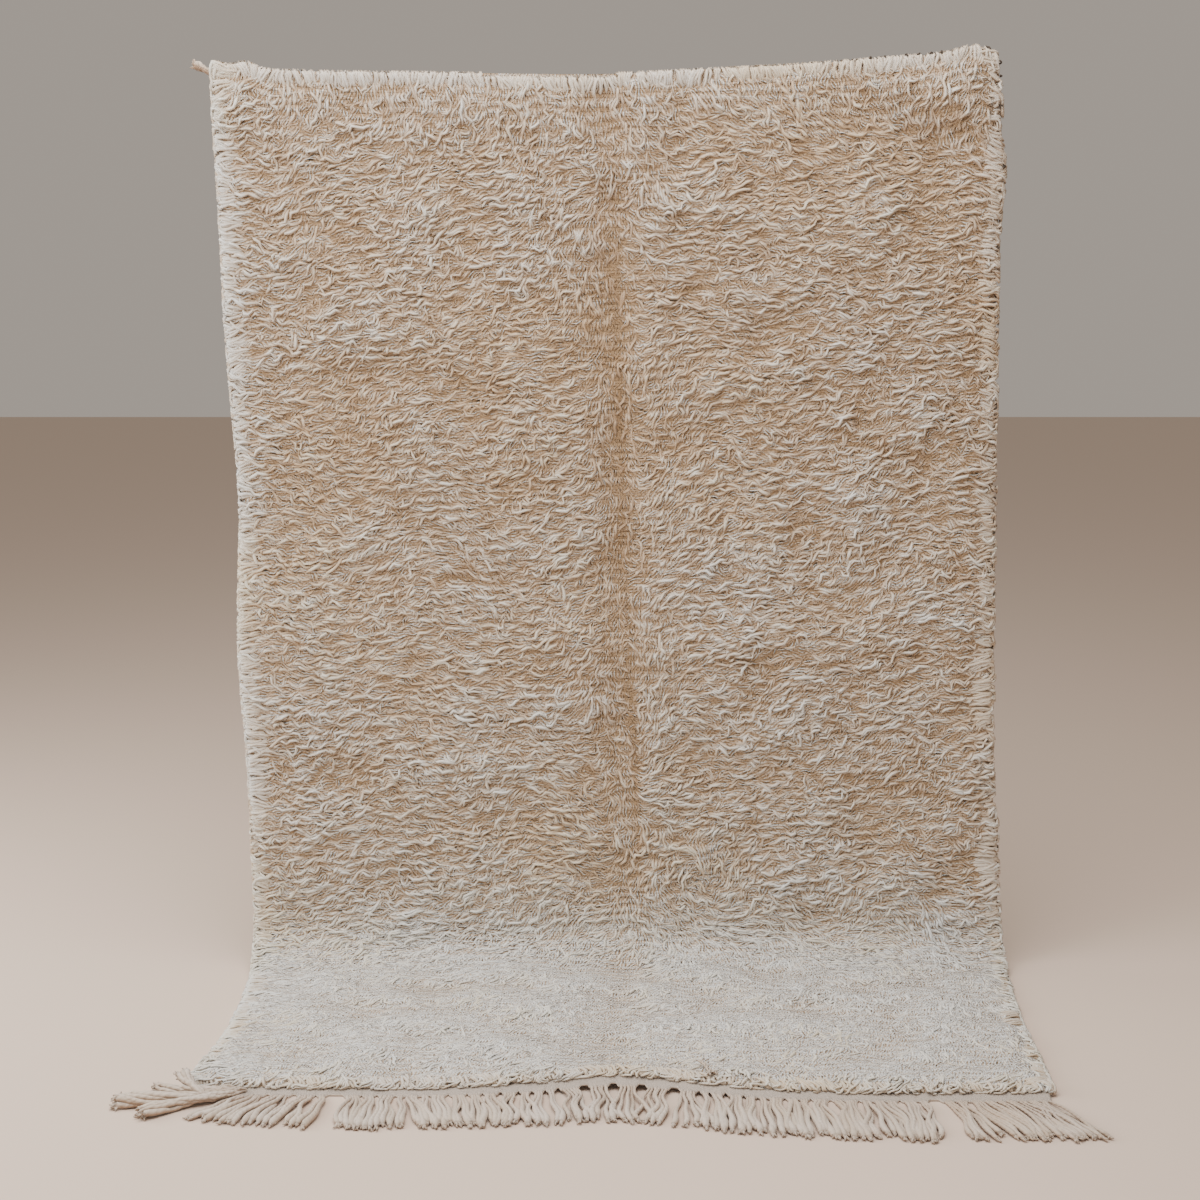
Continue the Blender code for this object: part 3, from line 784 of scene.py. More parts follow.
strand = yarn_template(STRAND_SIDES, STRAND_STEPS, True)
strand_ring = rings_of(strand)
pile_pieces = []
for name, picked in zip(PILE_BANDS, np.array_split(np.arange(len(chosen)), len(PILE_BANDS))):
    band_lines = lines[chosen[picked]]
    count = len(picked)
    loss = parted(band_lines[:, STRAND_MIDDLE, 0], -band_lines[:, STRAND_MIDDLE, 1])
    full = np.array([pile_height(x, -y) for x, y in band_lines[:, STRAND_MIDDLE, :2]])
    lowest, highest = np.array(LAYERS)[layer_of[picked]].T
    at_across = band_lines[..., 0]
    at_down = -band_lines[..., 1]
    lying = smooth_step(STRAIGHT_LENGTH - 0.02, STRAIGHT_LENGTH + BEND_LENGTH, at_down[:, STRAND_MIDDLE])
    calm = LYING_CALM * lying[:, None]
    layer = lowest + (highest - lowest) * draw.uniform(0, 1, count)
    top = full * (layer + LYING_CALM * lying * (1 - layer)) - STRAND_HALF_HEIGHT
    rise = STRAND_RISE + calm * (1 - STRAND_RISE) * LYING_LEVEL
    ridges = rows_of_pile(at_across, at_down) * (1 - calm)
    swell = ROW_SWELL * ridges + TUFT_SWELL * tufts(at_across, at_down)
    band_lines[..., 2] = GROUND_THICK + top[:, None] * rise * (1 + swell)
    stood = band_lines[..., 2].copy()
    keep_to_rug(band_lines, draw)
    half_widths = STRAND_HALF_WIDTH * STRAND_TAPER * draw.uniform(*STRAND_WIDTHS, (count, 1))
    half_heights = STRAND_HALF_HEIGHT * STRAND_TAPER * (1 - LYING_FLATTER * lying)[:, None]
    rolls = draw.uniform(-STRAND_ROLL, STRAND_ROLL, count)
    corners = clothe_lines(strand, band_lines, half_widths, half_heights, rolls)
    lowered = (stood - band_lines[..., 2])[:, strand_ring]
    # Each strand's tone: painted light on its top, painted shade on its sides, low in the pile, in the
    # partings and in the rows' grooves.
    above = (corners[..., 2] - band_lines[:, strand_ring, 2]) / STRAND_HALF_HEIGHT
    stands = (corners[..., 2] + lowered - GROUND_THICK) / TALL_PILE
    ridges = rows_of_pile(at_across, at_down) * (1 - calm)
    tone = STRAND_TONE + ROUND_TONE * above + TALL_TONE * stands - PARTED_PAINTED_SHADE * loss[:, None]
    tone += (pile_tone(at_across, at_down) + ROW_PAINTED_SHADE * ridges)[:, strand_ring]
    mesh = join_copies(name, strand, hang(corners), length[chosen[picked]])
    tone_copies(mesh, tone, draw)
    piece = add_piece(name, mesh, pile_wool)
    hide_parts("pile_field")
    pile_pieces.append(piece)

# ----------------------------------------------------------------
# The rims of the pile. The outermost strands fall over the rug's edges: forward over the top edge, sideways
# round both selvedges, and forward over the front strip.
# ----------------------------------------------------------------
WOVEN_SHOWS = (-0.235, 0.020)   # where the woven edge stands bare over the pile
WOVEN_BARE = 0.006
RIM_HALF_WIDTH = 0.0032
RIM_HALF_HEIGHT = 0.0026
RIM_LENGTH = 0.05
RIM_LEAN = 0.28
RIM_WAVE = 0.0016
RIM_TONE = 0.50
# Painted light on the rim strands' tops, painted shade on their sides:
RIM_ROUND_TONE = 0.38
RIM_TONES = (0.03, 0.00, -0.05, 0.00)       # what the top, left, right and front rims add to the tone: painted light on the top rim, painted shade on the right one
# Painted light along the left selvedge's rim, which faces the light from the left:
LEFT_RIM_PAINTED_LIGHT = 0.28

# Strands over each edge: how many, how far in from the edge each of their rings lies, and how high.
TOP_RIM = (
    640,
    (0.003, -0.002, 0.002, 0.008, 0.015, 0.022, 0.028),
    (0.001, 0.010, 0.0155, 0.0175, 0.0165, 0.0140, 0.008),
)
LEFT_RIM = (
    780,
    (0.042, 0.034, 0.024, 0.014, 0.006, 0.001, -0.001),
    (0.009, 0.0155, 0.0175, 0.0175, 0.0165, 0.010, 0.002),
)
RIGHT_RIM = (
    720,
    (0.044, 0.036, 0.025, 0.015, 0.007, 0.002, 0.000),
    (0.009, 0.0155, 0.0170, 0.0170, 0.0160, 0.0125, 0.007),
)
FRONT_RIM = (
    380,
    (0.042, 0.034, 0.024, 0.014, 0.006, 0.000, -0.005),
    (0.006, 0.0130, 0.0160, 0.0165, 0.0155, 0.0105, 0.005),
)


def rim_strands(rim, length, leaning, draw):
    """Strands laid across an edge of that length: how far along it, how far in from it, how high."""
    count, inward, heights = rim
    inward = np.array(inward)
    each = (count, 1)
    inside = inward * draw.uniform(0.75, 1.3, each)
    inside = inside + draw.uniform(0, 0.006, each) * (inward > 0.01)
    start = length * draw.uniform(0.003, 0.997, each)
    lean = leaning + RIM_LEAN * (uneven(start, 0.0, 0.07, 7) + draw.normal(0, 0.5, each))
    waving = RIM_WAVE * np.sin(1.7 * np.arange(len(inward)) + draw.uniform(0, 2 * math.pi, each))
    along = start + lean * np.abs(inside - inside[:, 1:2]) + waving
    return along, inside, np.array(heights) * draw.uniform(0.78, 1.06, each)


draw = np.random.default_rng(31)
top = rim_strands(TOP_RIM, WIDTH, 0.0, draw)
left = rim_strands(LEFT_RIM, FIELD_LENGTH, 0.1, draw)
right = rim_strands(RIGHT_RIM, FIELD_LENGTH, -0.1, draw)
front = rim_strands(FRONT_RIM, WIDTH, 0.45, draw)
top_across = top[0] - WIDTH / 2
bare = (top_across > WOVEN_SHOWS[0]) & (top_across < WOVEN_SHOWS[1])
rim_lines = np.concatenate((
    np.stack((top_across, -top[1] - WOVEN_BARE * bare, top[2]), axis=-1),
    np.stack((left[1] - WIDTH / 2, -left[0], left[2]), axis=-1),
    np.stack((WIDTH / 2 - right[1], -right[0], right[2]), axis=-1),
    np.stack((front[0] - WIDTH / 2, front[1] - FIELD_LENGTH, front[2]), axis=-1),
))
count = len(rim_lines)
# The rims' tone: painted light on the top and left rims and on each strand's top, painted shade on the right
# rim.
tone = np.repeat(RIM_TONES, [len(rim[0]) for rim in (top, left, right, front)])[:, None]
tone = tone + LEFT_RIM_PAINTED_LIGHT * smooth_step(0.738, 0.749, -rim_lines[:, strand_ring, 0])
keep_to_rug(rim_lines, draw)
half_widths = RIM_HALF_WIDTH * STRAND_TAPER * draw.uniform(0.85, 1.15, (count, 1))
half_heights = RIM_HALF_HEIGHT * np.tile(STRAND_TAPER, (count, 1))
rolls = draw.uniform(-STRAND_ROLL, STRAND_ROLL, count)
corners = clothe_lines(strand, rim_lines, half_widths, half_heights, rolls)
above = (corners[..., 2] - rim_lines[:, strand_ring, 2]) / STRAND_HALF_HEIGHT
places = hang(corners)
places[..., 2] = np.maximum(places[..., 2], 0.0)
mesh = join_copies("pile_rims", strand, places, np.full(count, RIM_LENGTH))
tone_copies(mesh, RIM_TONE + RIM_ROUND_TONE * above + tone, draw)
rims = add_piece("pile_rims", mesh, pile_wool)
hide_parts("pile_field")
pile_pieces.append(rims)

# ----------------------------------------------------------------
# The front end strip. Plain weave of the rug's own greyish warps, 27 mm wide, woven on from the pile's front
# edge and lifted off the floor left of the middle.
# ----------------------------------------------------------------
GAP = 0.0005
STRIP_WIDTH = 0.027
STRIP_THICK = 0.0035
FRONT_STRIP_ENDS = (-0.638, 0.784)
FRONT_STRIP_FALL = 0.25     # the share of its lift that the strip loses across its width
STRIP_SAG = 0.0025
STRIP_RISE = 0.003          # at the pile's foot
STRIP_CELLS = (480, 6)
RIB_PITCH = 0.0075
RIB_HEIGHT = 0.0006
WEAVE_SIZES = (0.0025, 0.0016, 0.0003)      # width and height of a crossing, gap between two
EDGE_POINTS = 121

# Distance along the front, pitch of the yarns, their thickness to YARN_SWELL.
FRINGE_PITCH = np.array([
    (-0.64, 0.0076, 0.94),
    (-0.50, 0.0076, 1.00),
    (-0.40, 0.0062, 1.00),
    (-0.20, 0.0064, 1.00),
    (-0.10, 0.0088, 0.96),
    (0.12, 0.0092, 0.96),
    (0.22, 0.0066, 1.00),
    (0.45, 0.0060, 1.00),
    (0.56, 0.0052, 0.92),
    (0.70, 0.0040, 0.72),
    (0.79, 0.0038, 0.70),
])
FRINGE_BARE = ((-0.480, -0.450), (0.570, 0.588))
FRINGE_BUNCHES = (2, 6)
FRINGE_GAP = 0.013          # across which yarns neither bunch nor cross
FRINGE_GATHER = 0.58        # a bunch's width at the strip, to its width further out
FRINGE_SPREAD = (0.90, 1.25)    # the same at the tips
FRINGE_SHIFT = 0.004
FRINGE_INSET = (0.004, 0.003)       # from the strip's left and right ends
FRINGE_CROSSED = 0.24       # the share of yarns that cross the next one
ARCH_SHARE = 0.36           # how far an arch between two bunches reaches into the strip
ARCH_REACH = (0.0035, 0.0085)
# The yarns' deep and warm colours are painted shade on their sides and undersides; the pale ones are their
# own colour.
WARP_DEEP = (0.15, 0.095, 0.06)
WARP_WARM = (0.385, 0.27, 0.19)
WARP_PALE = (0.60, 0.53, 0.47)
WARP_PALEST = (0.655, 0.585, 0.52)
WARP_GAP = (0.48, 0.39, 0.31)

edge_across = np.linspace(-WIDTH / 2, WIDTH / 2, EDGE_POINTS)
edge_down = np.full(EDGE_POINTS, -FIELD_LENGTH)
front_edge = hang(np.stack((edge_across, edge_down, np.zeros(EDGE_POINTS)), axis=-1))


def strip_point(x, forward, height):
    """A point on the front end strip: where along it, how far forward of the pile, how high over its back."""
    y = np.interp(x, front_edge[:, 0], front_edge[:, 1]) - GAP - forward
    lift = np.interp(x, front_edge[:, 0], front_edge[:, 2]) + GAP
    out = np.clip(forward / STRIP_WIDTH, 0, 1)
    height = height + STRIP_RISE * (1 - smooth_step(0, 0.35, out))
    lift = np.maximum(lift * (1 - FRONT_STRIP_FALL * out) - STRIP_SAG * out, GAP)
    return np.stack((x, y, lift + height), axis=-1)


def ribbed_height(x, y):
    """How thick a strip is at a place, with its ribs running across it."""
    return STRIP_THICK + RIB_HEIGHT * math.sin(2 * math.pi * x / RIB_PITCH)


def strip_material():
    """Fine plain weave: grey warps with thin wefts between them."""
    material, tree, shader = new_material("plain_weave", 0.95, 0.15)
    flat = add_node(tree, "UVMap", {}, uv_map="flat").outputs["UV"]
    weave = interlaced(tree, flat, WEAVE_SIZES, WARP_PALE, WARP_PALEST, WARP_GAP)
    normal = relief(tree, weave.outputs["Fac"], 0.0008, invert=True)
    set_inputs(tree, shader, {"Base Color": weave.outputs["Color"], "Normal": normal})
    return material


# Where the fringe's yarns leave the strip and where their tips lie: in bunches, some crossing the next one.
strip_low, strip_high = FRONT_STRIP_ENDS
draw = np.random.default_rng(41)
yarn_x = []
x = strip_low + FRINGE_INSET[0]
while x < strip_high - FRINGE_INSET[1]:
    if not any(low < x < high for low, high in FRINGE_BARE):
        yarn_x.append(x)
    x += float(read_table(FRINGE_PITCH, 1, x)) * draw.uniform(0.8, 1.2)
yarn_x = np.array(yarn_x)
yarn_count = len(yarn_x)
root_x = yarn_x.copy()
tip_x = yarn_x.copy()
bunch_of = np.zeros(yarn_count, int)
first = 0
while first < yarn_count:
    most = draw.integers(FRINGE_BUNCHES[0], FRINGE_BUNCHES[1] + 1)
    gaps = np.flatnonzero(np.diff(yarn_x[first:first + most]) > FRINGE_GAP)
    bunch = slice(first, first + (gaps[0] + 1 if len(gaps) else most))
    middle = yarn_x[bunch].mean()
    from_middle = yarn_x[bunch] - middle
    root_x[bunch] = middle + from_middle * FRINGE_GATHER
    tip_x[bunch] = middle + from_middle * draw.uniform(*FRINGE_SPREAD)
    tip_x[bunch] += draw.uniform(-FRINGE_SHIFT, FRINGE_SHIFT)
    bunch_of[bunch] = first
    first = bunch.stop
crosses = (draw.uniform(0, 1, yarn_count - 1) < FRINGE_CROSSED) & (np.diff(yarn_x) < FRINGE_GAP)
one = np.flatnonzero(crosses)
tip_x[one], tip_x[one + 1] = tip_x[one + 1] + FRINGE_SHIFT, tip_x[one] - FRINGE_SHIFT

plain_weave = strip_material()
bm = flat_cloth(STRIP_CELLS, strip_high - strip_low, 0, STRIP_WIDTH, ribbed_height)
flat = places_of(bm)
flat_x = flat[:, 0] + (strip_low + strip_high) / 2
to_yarn = np.abs(flat_x[:, None] - root_x).min(axis=1)
forward = flat[:, 1] * (1 - ARCH_SHARE * smooth_step(*ARCH_REACH, to_yarn))
mesh = lay_cloth("front_strip", bm, strip_point(flat_x + MIDDLE_X, forward, flat[:, 2]))
front_strip = add_piece("front_strip", mesh, plain_weave)
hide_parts("front_fringe")

# ----------------------------------------------------------------
# The front fringe. The warps themselves, plied into soft yarns and left long. They leave the strip in
# bunches, part, cross here and there, and swell to blunt frayed tips, nearly side by side on the floor.
# ----------------------------------------------------------------
FRINGE_LENGTH = 0.150
FRINGE_ROOT = 0.005         # how far the yarns reach into the strip
FRINGE_OVER = 0.0060        # how high every second yarn rises over its neighbours
YARN_SIDES = 7
YARN_STEPS = 12
YARN_SWELL = ((0, 0.3, 0.7, 0.9, 1), (0.0028, 0.0034, 0.0048, 0.0060, 0.0046))   # shares of the way, radii
YARN_LENGTHS = (0.90, 1.06)     # the shortest and the longest, to FRINGE_LENGTH
YARN_WIDTHS = (0.82, 1.18)
BUNCH_LEAN = 0.07           # how far the bunches' leans differ
YARN_LEAN = 0.02
YARN_WAVE = (0.0016, 0.0068)
YARN_TONE = 0.50
YARN_ROUND_TONE = 0.68      # how much paler a yarn's top is than its middle: painted light on its top, painted shade underneath
TWIST_PITCH = 0.012
THREADS = 6                 # that each yarn's tip frays into
THREAD_SIDES = 3
THREAD_LENGTH = (0.004, 0.010)
THREAD_INSIDE = 0.25        # the share of it that is still in the yarn
THREAD_DROOP = 0.002
THREAD_RADIUS = np.array((0.0026, 0.0029, 0.0025, 0.0013))
THREAD_UNEVEN = 0.0006
LEAST_CLEAR = 0.0004        # between a yarn and the floor

# Distance along the front, sideways lean, length to FRINGE_LENGTH.
FRINGE_LAY = np.array([
    (-0.64, -0.72, 0.72),
    (-0.60, -0.55, 0.78),
    (-0.56, -0.36, 0.81),
    (-0.51, -0.16, 0.83),
    (-0.43, 0.00, 0.83),
    (0.10, 0.00, 0.84),
    (0.35, 0.02, 0.95),
    (0.50, 0.05, 1.00),
    (0.62, 0.18, 1.02),
    (0.70, 0.34, 1.07),
    (0.79, 0.46, 1.10),
])


def fray(lines, draw, spread, floor_height=None):
    """Fine threads that carry each line on past its end and splay."""
    rings = len(THREAD_RADIUS)
    ends = np.repeat(lines[:, -1], THREADS, axis=0)
    ahead = np.repeat(lines[:, -1] - lines[:, -3], THREADS, axis=0)
    ahead /= np.linalg.norm(ahead, axis=1, keepdims=True)
    count = len(ends)
    length = draw.uniform(*THREAD_LENGTH, count)
    aside = draw.normal(0, spread, (count, 3)) * (1, 1, 0.5)
    threads = np.zeros((count, rings, 3))
    for ring in range(rings):
        share = ring / (rings - 1)
        step = length[:, None] * (share - THREAD_INSIDE)
        threads[:, ring] = ends + ahead * step + aside * share ** 1.5
        threads[:, ring] += draw.normal(0, THREAD_UNEVEN, (count, 3))
    if floor_height is not None:
        droop = THREAD_DROOP * np.linspace(0, 1, rings)
        threads[..., 2] = np.maximum(threads[..., 2] - droop, floor_height)
    return threads


def yarn_piece(name, lines, radii, threads, draw):
    """One object of yarns and of the fine threads at their tips."""
    bm = bmesh.new()
    thread_radii = np.tile(THREAD_RADIUS, (len(threads), 1))
    for sides, middle, radius in ((YARN_SIDES, lines, radii), (THREAD_SIDES, threads, thread_radii)):
        template = yarn_template(sides, middle.shape[1] - 1)
        rolls = draw.uniform(0, 2 * math.pi, len(middle))
        corners = clothe_lines(template, middle, radius, radius, rolls)
        corners[..., 2] = np.maximum(corners[..., 2], 0.0)
        length = np.linalg.norm(np.diff(middle, axis=1), axis=2).sum(axis=1)
        # Painted light on each yarn's and thread's top, painted shade underneath.
        above = (corners - middle[:, rings_of(template)])[..., 2] / radius.max()
        mesh = join_copies(name, template, corners, length)
        tone_copies(mesh, np.clip(YARN_TONE + YARN_ROUND_TONE * above, 0, 1), draw)
        bm.from_mesh(mesh)
        bpy.data.meshes.remove(mesh)
    return add_piece(name, finish_mesh(name, bm), warp_yarn)


warp_tones = ((0.0, WARP_DEEP), (0.35, WARP_WARM), (0.9, WARP_PALE))
warp_yarn = wool_material("warp_yarn", warp_tones, (1.0, 0.95, 0.87), 0.0006, TWIST_PITCH)
yarn_share = np.linspace(0, 1, YARN_STEPS + 1)
yarn_radius = np.interp(yarn_share, *YARN_SWELL)
each = (yarn_count, 1)
lean = read_table(FRINGE_LAY, 1, yarn_x) + draw.normal(0, BUNCH_LEAN, yarn_count)[bunch_of]
lean += draw.normal(0, YARN_LEAN, yarn_count)
reach = FRINGE_LENGTH * read_table(FRINGE_LAY, 2, yarn_x) * draw.uniform(*YARN_LENGTHS, yarn_count)
reach = (reach / np.hypot(1, lean))[:, None]
wave_size = draw.uniform(*YARN_WAVE, (2, *each))[:, bunch_of] * draw.uniform(0.8, 1.2, (2, *each))
wave_start = draw.uniform(0, 2 * math.pi, (2, *each))[:, bunch_of] + draw.uniform(-0.5, 0.5, (2, *each))
wave = wave_size[0] * np.sin(4.5 * yarn_share + wave_start[0])
wave += wave_size[1] * 0.5 * np.sin(10 * yarn_share + wave_start[1])
x = root_x[:, None] + (tip_x - root_x)[:, None] * smooth_step(0.05, 0.85, yarn_share) + MIDDLE_X
x += lean[:, None] * reach * yarn_share ** 1.15 + wave * smooth_step(0.0, 0.25, yarn_share)
forward = STRIP_WIDTH - FRINGE_ROOT + (reach + FRINGE_ROOT) * yarn_share
y = np.interp(root_x + MIDDLE_X, front_edge[:, 0], front_edge[:, 1])[:, None] - GAP - forward
root_z = strip_point(root_x + MIDDLE_X, np.full(yarn_count, STRIP_WIDTH), STRIP_THICK / 2)[:, 2]
over = FRINGE_OVER * np.sin(math.pi * np.clip(yarn_share * 1.15, 0, 1)) * draw.uniform(0.3, 1.0, each)
over *= (np.arange(yarn_count) % 2)[:, None]
fall = (root_z - yarn_radius[0])[:, None] * (1 - smooth_step(0.0, 0.42, yarn_share))
lines = np.stack((x, y, yarn_radius + fall + over + LEAST_CLEAR), axis=-1)
radii = yarn_radius * draw.uniform(*YARN_WIDTHS, each) * read_table(FRINGE_PITCH, 2, yarn_x)[:, None]
threads = fray(lines, draw, spread=0.0026, floor_height=0.0024)
front_fringe = yarn_piece("front_yarns", lines, radii, threads, draw)
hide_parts("front_fringe")

# ----------------------------------------------------------------
# The other end's strip and fringe, of the same weave and yarns. They are woven on at the hung edge and turned
# down behind it, where they hang free.
# ----------------------------------------------------------------
BACK_YARNS = 130
BACK_LENGTH = 0.143
BACK_ROOT = 0.004
BACK_STRIP_INSET = 0.015
BACK_STRIP_CELLS = (200, 3)
BACK_CLEARANCE = 0.002
BACK_OUT = 0.0022           # of the yarns behind the strip's own back
BACK_FLARE = 0.011
BACK_SWAY = 0.006
BACK_WAVE = 0.0012

back_length = WIDTH - 2 * BACK_STRIP_INSET


def behind(across, down, back):
    """A point behind the hanging cloth: across, down from its top, back from its own back."""
    places = hang(np.stack((across, -down, -fold_push(across, down)), axis=-1))
    places[..., 1] += BACK_CLEARANCE + back
    return places


bm = flat_cloth(BACK_STRIP_CELLS, back_length, 0, STRIP_WIDTH, ribbed_height)
mesh = lay_cloth("back_strip", bm, behind(*places_of(bm).T))
back_strip = add_piece("back_strip", mesh, plain_weave)
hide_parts("back_fringe")

draw = np.random.default_rng(43)
each = (BACK_YARNS, 1)
root = back_length * (np.linspace(-0.495, 0.495, BACK_YARNS) + draw.uniform(-0.0012, 0.0012, BACK_YARNS))
sway = draw.normal(0, BACK_SWAY, each)
length = BACK_LENGTH * draw.uniform(0.88, 1.05, each)
wave = BACK_WAVE * np.sin(9 * yarn_share + draw.uniform(0, 6, each))
across = root[:, None] + sway * yarn_share ** 1.5 + wave
down = STRIP_WIDTH - BACK_ROOT + length * yarn_share
back = BACK_OUT + BACK_FLARE * yarn_share * draw.uniform(0.2, 1.0, each)
lines = behind(across, down, back)
radii = yarn_radius * draw.uniform(0.75, 1.0, each)
threads = fray(lines, draw, spread=0.0028)
back_fringe = yarn_piece("back_yarns", lines, radii, threads, draw)
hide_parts("back_fringe")

# ----------------------------------------------------------------
# The corner tassel at the front left. The selvedge's warps, twisted into a thick loose rope that parts in
# three and frays, with a small fan of threads near its root. It lies on the floor.
# ----------------------------------------------------------------
ROPE_STEPS = 18
ROPE_SWELL = ((0, 0.15, 0.8, 0.95, 1), (0.0014, 0.0034, 0.0044, 0.0050, 0.0038))    # as YARN_SWELL
ROPE_LUMPS = 0.16
ROPE_UNEVEN = 0.0011
ROPE_FLATNESS = 0.75        # its height to its width

# Each lobe: points of its middle line, x and y from the hanging back and z; then yarns, wound radius, turns.
FRONT_LOBES = (
    (((-0.620, -0.664, 0.009), (-0.660, -0.690, 0.013), (-0.715, -0.705, 0.014), (-0.780, -0.714, 0.012),
      (-0.832, -0.718, 0.010)), 9, 0.0078, 0.9),
    (((-0.622, -0.666, 0.008), (-0.662, -0.700, 0.012), (-0.720, -0.726, 0.012), (-0.782, -0.764, 0.008)),
     7, 0.0062, 0.6),
    (((-0.626, -0.664, 0.010), (-0.672, -0.684, 0.017), (-0.724, -0.684, 0.016), (-0.774, -0.674, 0.012)),
     7, 0.0056, 0.7),
    (((-0.676, -0.708, 0.012), (-0.694, -0.698, 0.020), (-0.714, -0.676, 0.027), (-0.731, -0.650, 0.030)),
     6, 0.0050, 0.4),
)

rope_share = np.linspace(0, 1, ROPE_STEPS + 1)


def wound_yarns(points, yarns, radius, turns, loosening, draw):
    """Middle lines of yarns wound round a curve, and loosening towards its end."""
    table = np.column_stack((np.linspace(0, 1, len(points)), np.array(points)))
    middle = np.stack([read_table(table, column, rope_share) for column in (1, 2, 3)], axis=-1)
    middle += (MIDDLE_X, HANG_Y, 0.0)
    ahead = np.gradient(middle, axis=0)
    ahead /= np.linalg.norm(ahead, axis=1, keepdims=True)
    side = np.cross((0.0, 0.0, 1.0), ahead)
    side /= np.linalg.norm(side, axis=1, keepdims=True)
    above = np.cross(ahead, side)
    lines = []
    for yarn in range(yarns):
        turn = 2 * math.pi * (yarn / yarns + turns * rope_share) + draw.uniform(-0.3, 0.3)
        away = radius * (0.75 + loosening * smooth_step(0.45, 1.0, rope_share)) * draw.uniform(0.85, 1.15)
        away *= 0.3 + 0.7 * smooth_step(0.0, 0.2, rope_share)
        sideways = side * (away * np.cos(turn))[:, None]
        upwards = above * (ROPE_FLATNESS * away * np.sin(turn))[:, None]
        lines.append(middle + sideways + upwards)
    return np.array(lines)


draw = np.random.default_rng(47)
lines = []
for points, yarns, radius, turns in FRONT_LOBES:
    lines.append(wound_yarns(points, yarns, radius, turns, 1.0, draw))
lines = np.concatenate(lines)
each = (len(lines), 1)
radii = np.interp(rope_share, *ROPE_SWELL) * draw.uniform(0.85, 1.15, each)
radii *= 1 + ROPE_LUMPS * np.sin(draw.uniform(9, 15, each) * rope_share + draw.uniform(0, 6, each))
lines += draw.normal(0, ROPE_UNEVEN, lines.shape)
lines[..., 2] = np.maximum(lines[..., 2], radii + LEAST_CLEAR)
threads = fray(lines, draw, spread=0.0040, floor_height=0.0020)
front_tassel = yarn_piece("front_left_rope", lines, radii, threads, draw)
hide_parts("front_left_tassel")

# ----------------------------------------------------------------
# The tassel at the top left corner. Four warps twisted tight, left over from the upper end of the selvedge,
# with a lumpy frayed end that stands out to the left.
# ----------------------------------------------------------------
TOP_TASSEL_LINE = (
    (-0.7240, 0.0080, 1.7735),
    (-0.7430, 0.0085, 1.7800),
    (-0.7580, 0.0088, 1.7875),
    (-0.7720, 0.0088, 1.7935),
)
TOP_SWELL = ((0, 0.6, 0.85, 0.95, 1), (0.0040, 0.0040, 0.0050, 0.0054, 0.0036))

draw = np.random.default_rng(53)
lines = wound_yarns(TOP_TASSEL_LINE, yarns=4, radius=0.0038, turns=1.2, loosening=0.9, draw=draw)
radii = np.interp(rope_share, *TOP_SWELL) * draw.uniform(0.9, 1.1, (len(lines), 1))
threads = fray(lines, draw, spread=0.0022)
top_tassel = yarn_piece("top_left_rope", lines, radii, threads, draw)
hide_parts("top_left_tassel")

# ----------------------------------------------------------------
# The stitches. Short turns of dark thread, sewn over the top edge and the right selvedge where the edge was
# mended.
# ----------------------------------------------------------------
TOP_STITCHES = (0.503, 0.533, 0.575, 0.595, 0.618, 0.639, 0.725, 0.732)
SIDE_STITCHES = (0.012, 0.038, 0.092, 0.204, 0.227, 0.354, 0.631, 0.658, 0.694, 0.830, 0.901, 1.021)
STITCH_STEPS = 6
STITCH_SIDES = 5
STITCH_RADIUS = 0.0017
STITCH_SIZE = (0.0022, 0.0036)
STITCH_SLANT = 0.002
STITCH_OUT = 0.001          # past the edge
STITCH_HEIGHT = 0.012       # over the rug's back
STITCH_LENGTH = 0.02
STITCH_DARK = (0.030, 0.022, 0.018)
STITCH_LIGHT = (0.10, 0.075, 0.055)

dark_thread, tree, shader = new_material("dark_thread", 0.8, 0.1)
place = add_node(tree, "TexCoord", {}).outputs["Object"]
fibres = noise_at(tree, place, 900.0, 2.0).outputs["Fac"]
set_inputs(tree, shader, {"Base Color": colour_ramp(tree, fibres, ((0.3, STITCH_DARK), (0.8, STITCH_LIGHT)))})

draw = np.random.default_rng(59)
turn = np.linspace(-0.2, 1.1, STITCH_STEPS + 1) * math.pi
lines = []
for place in (*TOP_STITCHES, *SIDE_STITCHES):
    size = draw.uniform(*STITCH_SIZE)
    slant = draw.uniform(-STITCH_SLANT, STITCH_SLANT) * turn
    out = STITCH_OUT + size * np.sin(turn)
    height = STITCH_HEIGHT + size * np.cos(turn)
    if len(lines) < len(TOP_STITCHES):
        lines.append(np.stack((place + slant, out, height), axis=-1))
    else:
        lines.append(np.stack((WIDTH / 2 + out, -place + slant, height), axis=-1))
lines = hang(np.array(lines))
stitch = yarn_template(STITCH_SIDES, STITCH_STEPS)
radius = np.full(lines.shape[:2], STITCH_RADIUS)
corners = clothe_lines(stitch, lines, radius, radius, np.zeros(len(lines)), (0, -1, 0))
mesh = join_copies("edge_stitches", stitch, corners, np.full(len(lines), STITCH_LENGTH))
stitches = add_piece("edge_stitches", mesh, dark_thread)
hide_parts("pile_field")

# ----------------------------------------------------------------
# A loose strand. One white corkscrew of two wound yarns, with a small frayed tuft, lies on the pile near the
# front edge.
# ----------------------------------------------------------------
LOOSE_STRAND = (
    (0.176, -0.590, 0.032),
    (0.183, -0.604, 0.034),
    (0.189, -0.620, 0.033),
    (0.196, -0.640, 0.030),
)
LOOSE_RADIUS = 0.0019

draw = np.random.default_rng(61)
lines = wound_yarns(LOOSE_STRAND, yarns=2, radius=0.0030, turns=2.5, loosening=0.3, draw=draw)
radii = np.full(lines.shape[:2], LOOSE_RADIUS)
threads = fray(np.concatenate((lines, lines)), draw, spread=0.0035)
loose = yarn_piece("loose_strand", lines, radii, threads, draw)
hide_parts("pile_field")

